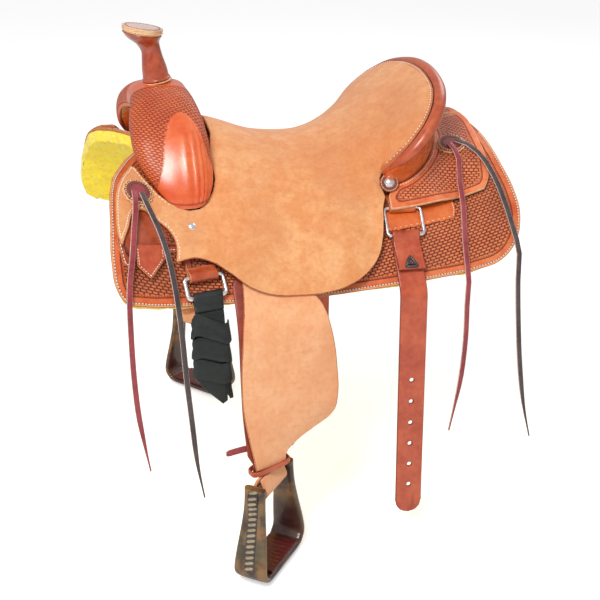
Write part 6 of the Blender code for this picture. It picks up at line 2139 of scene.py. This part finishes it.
def build_lacing(word, body, centre, along, across, up, frames):
    """Rounded thongs laced down the near branch's outer face, over its dark seam."""
    length = 0.0
    rows = []
    strip = []
    for (here, outward, run), (ahead, _, _) in zip(frames, frames[1:]):
        step = (ahead - here).length
        if here.y > 0.012 or here.x > 0:
            continue
        if here.y < -0.121:
            break
        spot = here + outward * (STIRRUP_WALL - 0.0006)
        place = centre + along * spot.x + up * spot.y
        out = (along * outward.x + up * outward.y).normalized()
        down = (along * run.x + up * run.y).normalized()
        over_bolt = 1 - smooth_step(abs(here.y), 0.004, 0.010)
        place = place + out * (0.0032 * over_bolt)
        strip.append([place + across * w + out * (k * SEAM_LEATHER) for w, k in SEAM_SECTION])
        while length < step:
            middle = place + down * length + out * 0.0012
            rows.append((middle, across + down * 0.34, out, THONG_LENGTH, THONG_RADIUS))
            length += THONG_SPACING
        length -= step
    lofted(word + "_stirrup_seam", strip, [BLACK_LACE], body, angle=40)
    beads(word + "_stirrup_lacing", rows, LACE, body)


def build_loop(word, centre, along, across, up):
    """The stirrup leather's loop: down, round the roller and up again, seen along the bolt."""
    inner = ROLLER_RADIUS + RUNNING_GAP
    outer = inner + LOOP_WALL
    rise = HANG.at(HOBBLE_T + FENDER_TOP)[0].y - HOBBLE_WIDTH / 2 - RUNNING_GAP - centre.z
    low, high, count = 180 - LOOP_WRAP, 360 + LOOP_WRAP, 36
    angles = [math.radians(low + (high - low) * i / count) for i in range(count + 1)]
    arc_out = [(outer * math.cos(u), outer * math.sin(u)) for u in angles]
    arc_in = [(inner * math.cos(u), inner * math.sin(u)) for u in reversed(angles)]
    pinch = 0.0010
    profile = ([(-LOOP_WALL - pinch, rise)] + arc_out + [(LOOP_WALL + pinch, rise), (pinch, rise)]
               + arc_in + [(-pinch, rise)])
    rings = []
    for share in (-1, -0.97, -0.5, 0, 0.5, 0.97, 1):
        rings.append([centre + along * (LOOP_HALF * share) + across * b + up * c for b, c in profile])
    lofted(word + "_leather_loop", rings, [LOOP_SUEDE, DARK_RED], word + "_loop", "stirrup_loop_" + word,
           angle=40)


# Rosettes and conchos

FRONT_ROSETTE = (-0.291, 0.171)
REAR_ROSETTE = (0.225, 0.095)
CONCHO_PLACE = (0.1080, 0.1515)
CONCHO_HEIGHT = 0.0213
ROSETTE_RADIUS = 0.0240
ROSETTE_LEATHER = 0.004
CONCHO_RADIUS = 0.0155
# Outward lean in degrees, and how far the shown concho sits forward of the frame's
CONCHO_LEAN = 26
CONCHO_SHIFT = (-0.0065, 0.0, 0.0008)
SEAT_SCREW = (-0.217, 0.206)


def standing_on_form(x, s, h, side):
    """Matrix of a piece that stands square on the form."""
    turn = Vector((0, 0, 1)).rotation_difference(form_axes(x, s, side)[2]).to_matrix().to_4x4()
    return Matrix.Translation(on_form(x, s, h, side)) @ turn


def bead_ring(name, place, radius, height, count, size, material, phase=0.5, share=0.66):
    """Stitches round a circle. phase turns the ring, and share is a stitch's part of the pitch."""
    rows = []
    axis = (place.to_3x3() @ Vector((0, 0, 1))).normalized()
    pitch = 2 * math.pi * radius / count
    for i in range(count):
        u = round_turn(i + phase, count)
        spot = place @ Vector((radius * math.cos(u), radius * math.sin(u), height))
        run = place.to_3x3() @ Vector((-math.sin(u), math.cos(u), 0))
        rows.append((spot, run, axis, pitch * share, size))
    beads(name, rows, material, "saddle")


def build_rosette(name, node, place):
    """A scalloped leaf, a smaller face and a centre on each other, beaded round."""
    r = ROSETTE_RADIUS
    t = ROSETTE_LEATHER
    for part, wide, deep, sides, lobes, cut, lift, material, nodes in (
            ("_leaf", 1.0, 0.55, 128, 16, 0.085, 0.0, CREAM_EDGE, node),
            ("_face", 0.90, 0.40, 128, 16, 0.075, 0.52, ROSETTE, ()),
            ("_centre", 0.52, 0.22, 96, 12, 0.07, 0.90, BURGUNDY, ())):
        lifted = place @ Matrix.Translation((0, 0, t * lift))
        settle(disc(r * wide, t * deep, sides, lobes, cut), name + part, lifted, [material], nodes)
    bead_ring(name + "_beads", place, r * 0.81, t * 0.93, 30, 0.0011, CREAM_EDGE)
    bead_ring(name + "_inner_beads", place, r * 0.60, t * 0.93, 24, 0.0005, BLACK_LACE)


def build_concho(word, side):
    lean = Matrix.Rotation(math.radians(-CONCHO_LEAN * side), 4, "X")
    place = standing_on_form(*CONCHO_PLACE, CONCHO_HEIGHT + 0.0042, side) @ lean
    place = Matrix.Translation(CONCHO_SHIFT) @ place
    r = CONCHO_RADIUS
    leaf = disc(r, 0.0034, 96, 12, 0.09)
    settle(leaf, word + "_concho_rosette", place, [ROSETTE], "cantle_concho_" + word)
    bead_ring(word + "_concho_stitches", place, r * 0.85, 0.0034, 28, 0.0010, CREAM_EDGE)
    lift = place @ Matrix.Translation((0, 0, 0.0036))
    settle(dome(0.0072, 40, 24, -0.0005, 0.62), word + "_concho_dome", lift, [STEEL], (), 60)
    bead_ring(word + "_concho_rim", place, 0.0076, 0.0038, 30, 0.0007, STEEL)


def build_screw(word, side):
    x, s = SEAT_SCREW
    place = standing_on_form(x, s, seat_height(x, s) + 0.0002, side)
    settle(dome(0.0062, 32, 16, -0.001, 0.42), word + "_seat_screw", place, [STEEL], (), 60)


def build_rosettes():
    front = seat_height(*FRONT_ROSETTE) + 0.0012
    rear = jockey_height(*REAR_ROSETTE) + JOCKEY_LEATHER + 0.0007
    for word, side in SIDES:
        build_rosette(word + "_front_rosette", "front_rosette_" + word,
                      standing_on_form(*FRONT_ROSETTE, front, side))
        build_rosette(word + "_rear_rosette", "rear_rosette_" + word,
                      standing_on_form(*REAR_ROSETTE, rear, side))
        build_concho(word, side)
        build_screw(word, side)


build_skirts()
build_fleece()
build_seat()
build_rear_jockeys()
build_fork()
build_horn()
build_cantle()
build_front_rigging()
build_rear_rigging()
build_rigging_band()
build_latigo_keeper()
build_dees()
build_billets()
build_latigo()
build_fenders()
for side_word, side_sign in SIDES:
    build_stirrup(side_word, side_sign)
build_rosettes()


# Frame pieces that stay, with better materials

KEPT = {"tree_bar_near": PINE, "tree_bar_far": PINE, "fork_tree": PINE, "cantle_tree": PINE,
        "horn_post": STEEL, "stirrup_bolt_near": STEEL, "stirrup_bolt_far": STEEL}


def dress_kept():
    for node, material in KEPT.items():
        obj = bpy.data.objects.get(node)
        for slot in obj.material_slots:
            slot.link = "OBJECT"
            slot.material = material


dress_kept()


# Studio

FLOOR_Z = -0.5555
FLOOR_RADIUS = 12.0
FLOOR_GLOW = 0.50
SKY_LEVEL = 0.46


def build_floor():
    bpy.ops.mesh.primitive_circle_add(vertices=64, radius=FLOOR_RADIUS, fill_type="NGON",
                                      location=(0, 0, FLOOR_Z))
    floor = bpy.context.active_object
    floor.name = "studio_floor"
    material = bpy.data.materials.new("pale_floor")
    material.use_nodes = True
    tree = material.node_tree
    seen = add_node(tree, "ShaderNodeLightPath").outputs["Is Camera Ray"]
    feed(tree, tree.nodes["Principled BSDF"],
         {"Base Color": (0.90, 0.90, 0.90, 1), "Roughness": 0.75, "Specular IOR Level": 0.1,
          "Emission Color": (1, 1, 1, 1), "Emission Strength": product(tree, seen, FLOOR_GLOW)})
    floor.data.materials.append(material)


def build_world():
    """White where the camera sees it, and a dimmer light on the saddle."""
    world = bpy.data.worlds.new("studio")
    bpy.context.scene.world = world
    world.use_nodes = True
    tree = world.node_tree
    rays = add_node(tree, "ShaderNodeLightPath").outputs
    seen = calc(tree, "MAXIMUM", rays["Is Camera Ray"], rays["Is Transmission Ray"])
    level = add_node(tree, "ShaderNodeMapRange", {"Value": seen, "To Min": SKY_LEVEL, "To Max": 1.0})
    feed(tree, tree.nodes["Background"], {"Color": (1, 1, 1, 1), "Strength": level.outputs["Result"]})


def build_light(name, place, target, size, energy):
    data = bpy.data.lights.new(name, "AREA")
    data.size = size
    data.energy = energy
    lamp = bpy.data.objects.new(name, data)
    bpy.context.scene.collection.objects.link(lamp)
    lamp.location = place
    lamp.rotation_mode = "QUATERNION"
    lamp.rotation_quaternion = (Vector(target) - Vector(place)).to_track_quat("-Z", "Y")


build_floor()
build_world()
build_light("key_softbox", (-1.3, -2.0, 2.3), (0, 0, -0.2), 1.0, 74)
build_light("rim_softbox", (1.8, 1.6, 2.0), (0, 0, -0.1), 1.6, 22)
bpy.context.scene.view_settings.view_transform = "Standard"
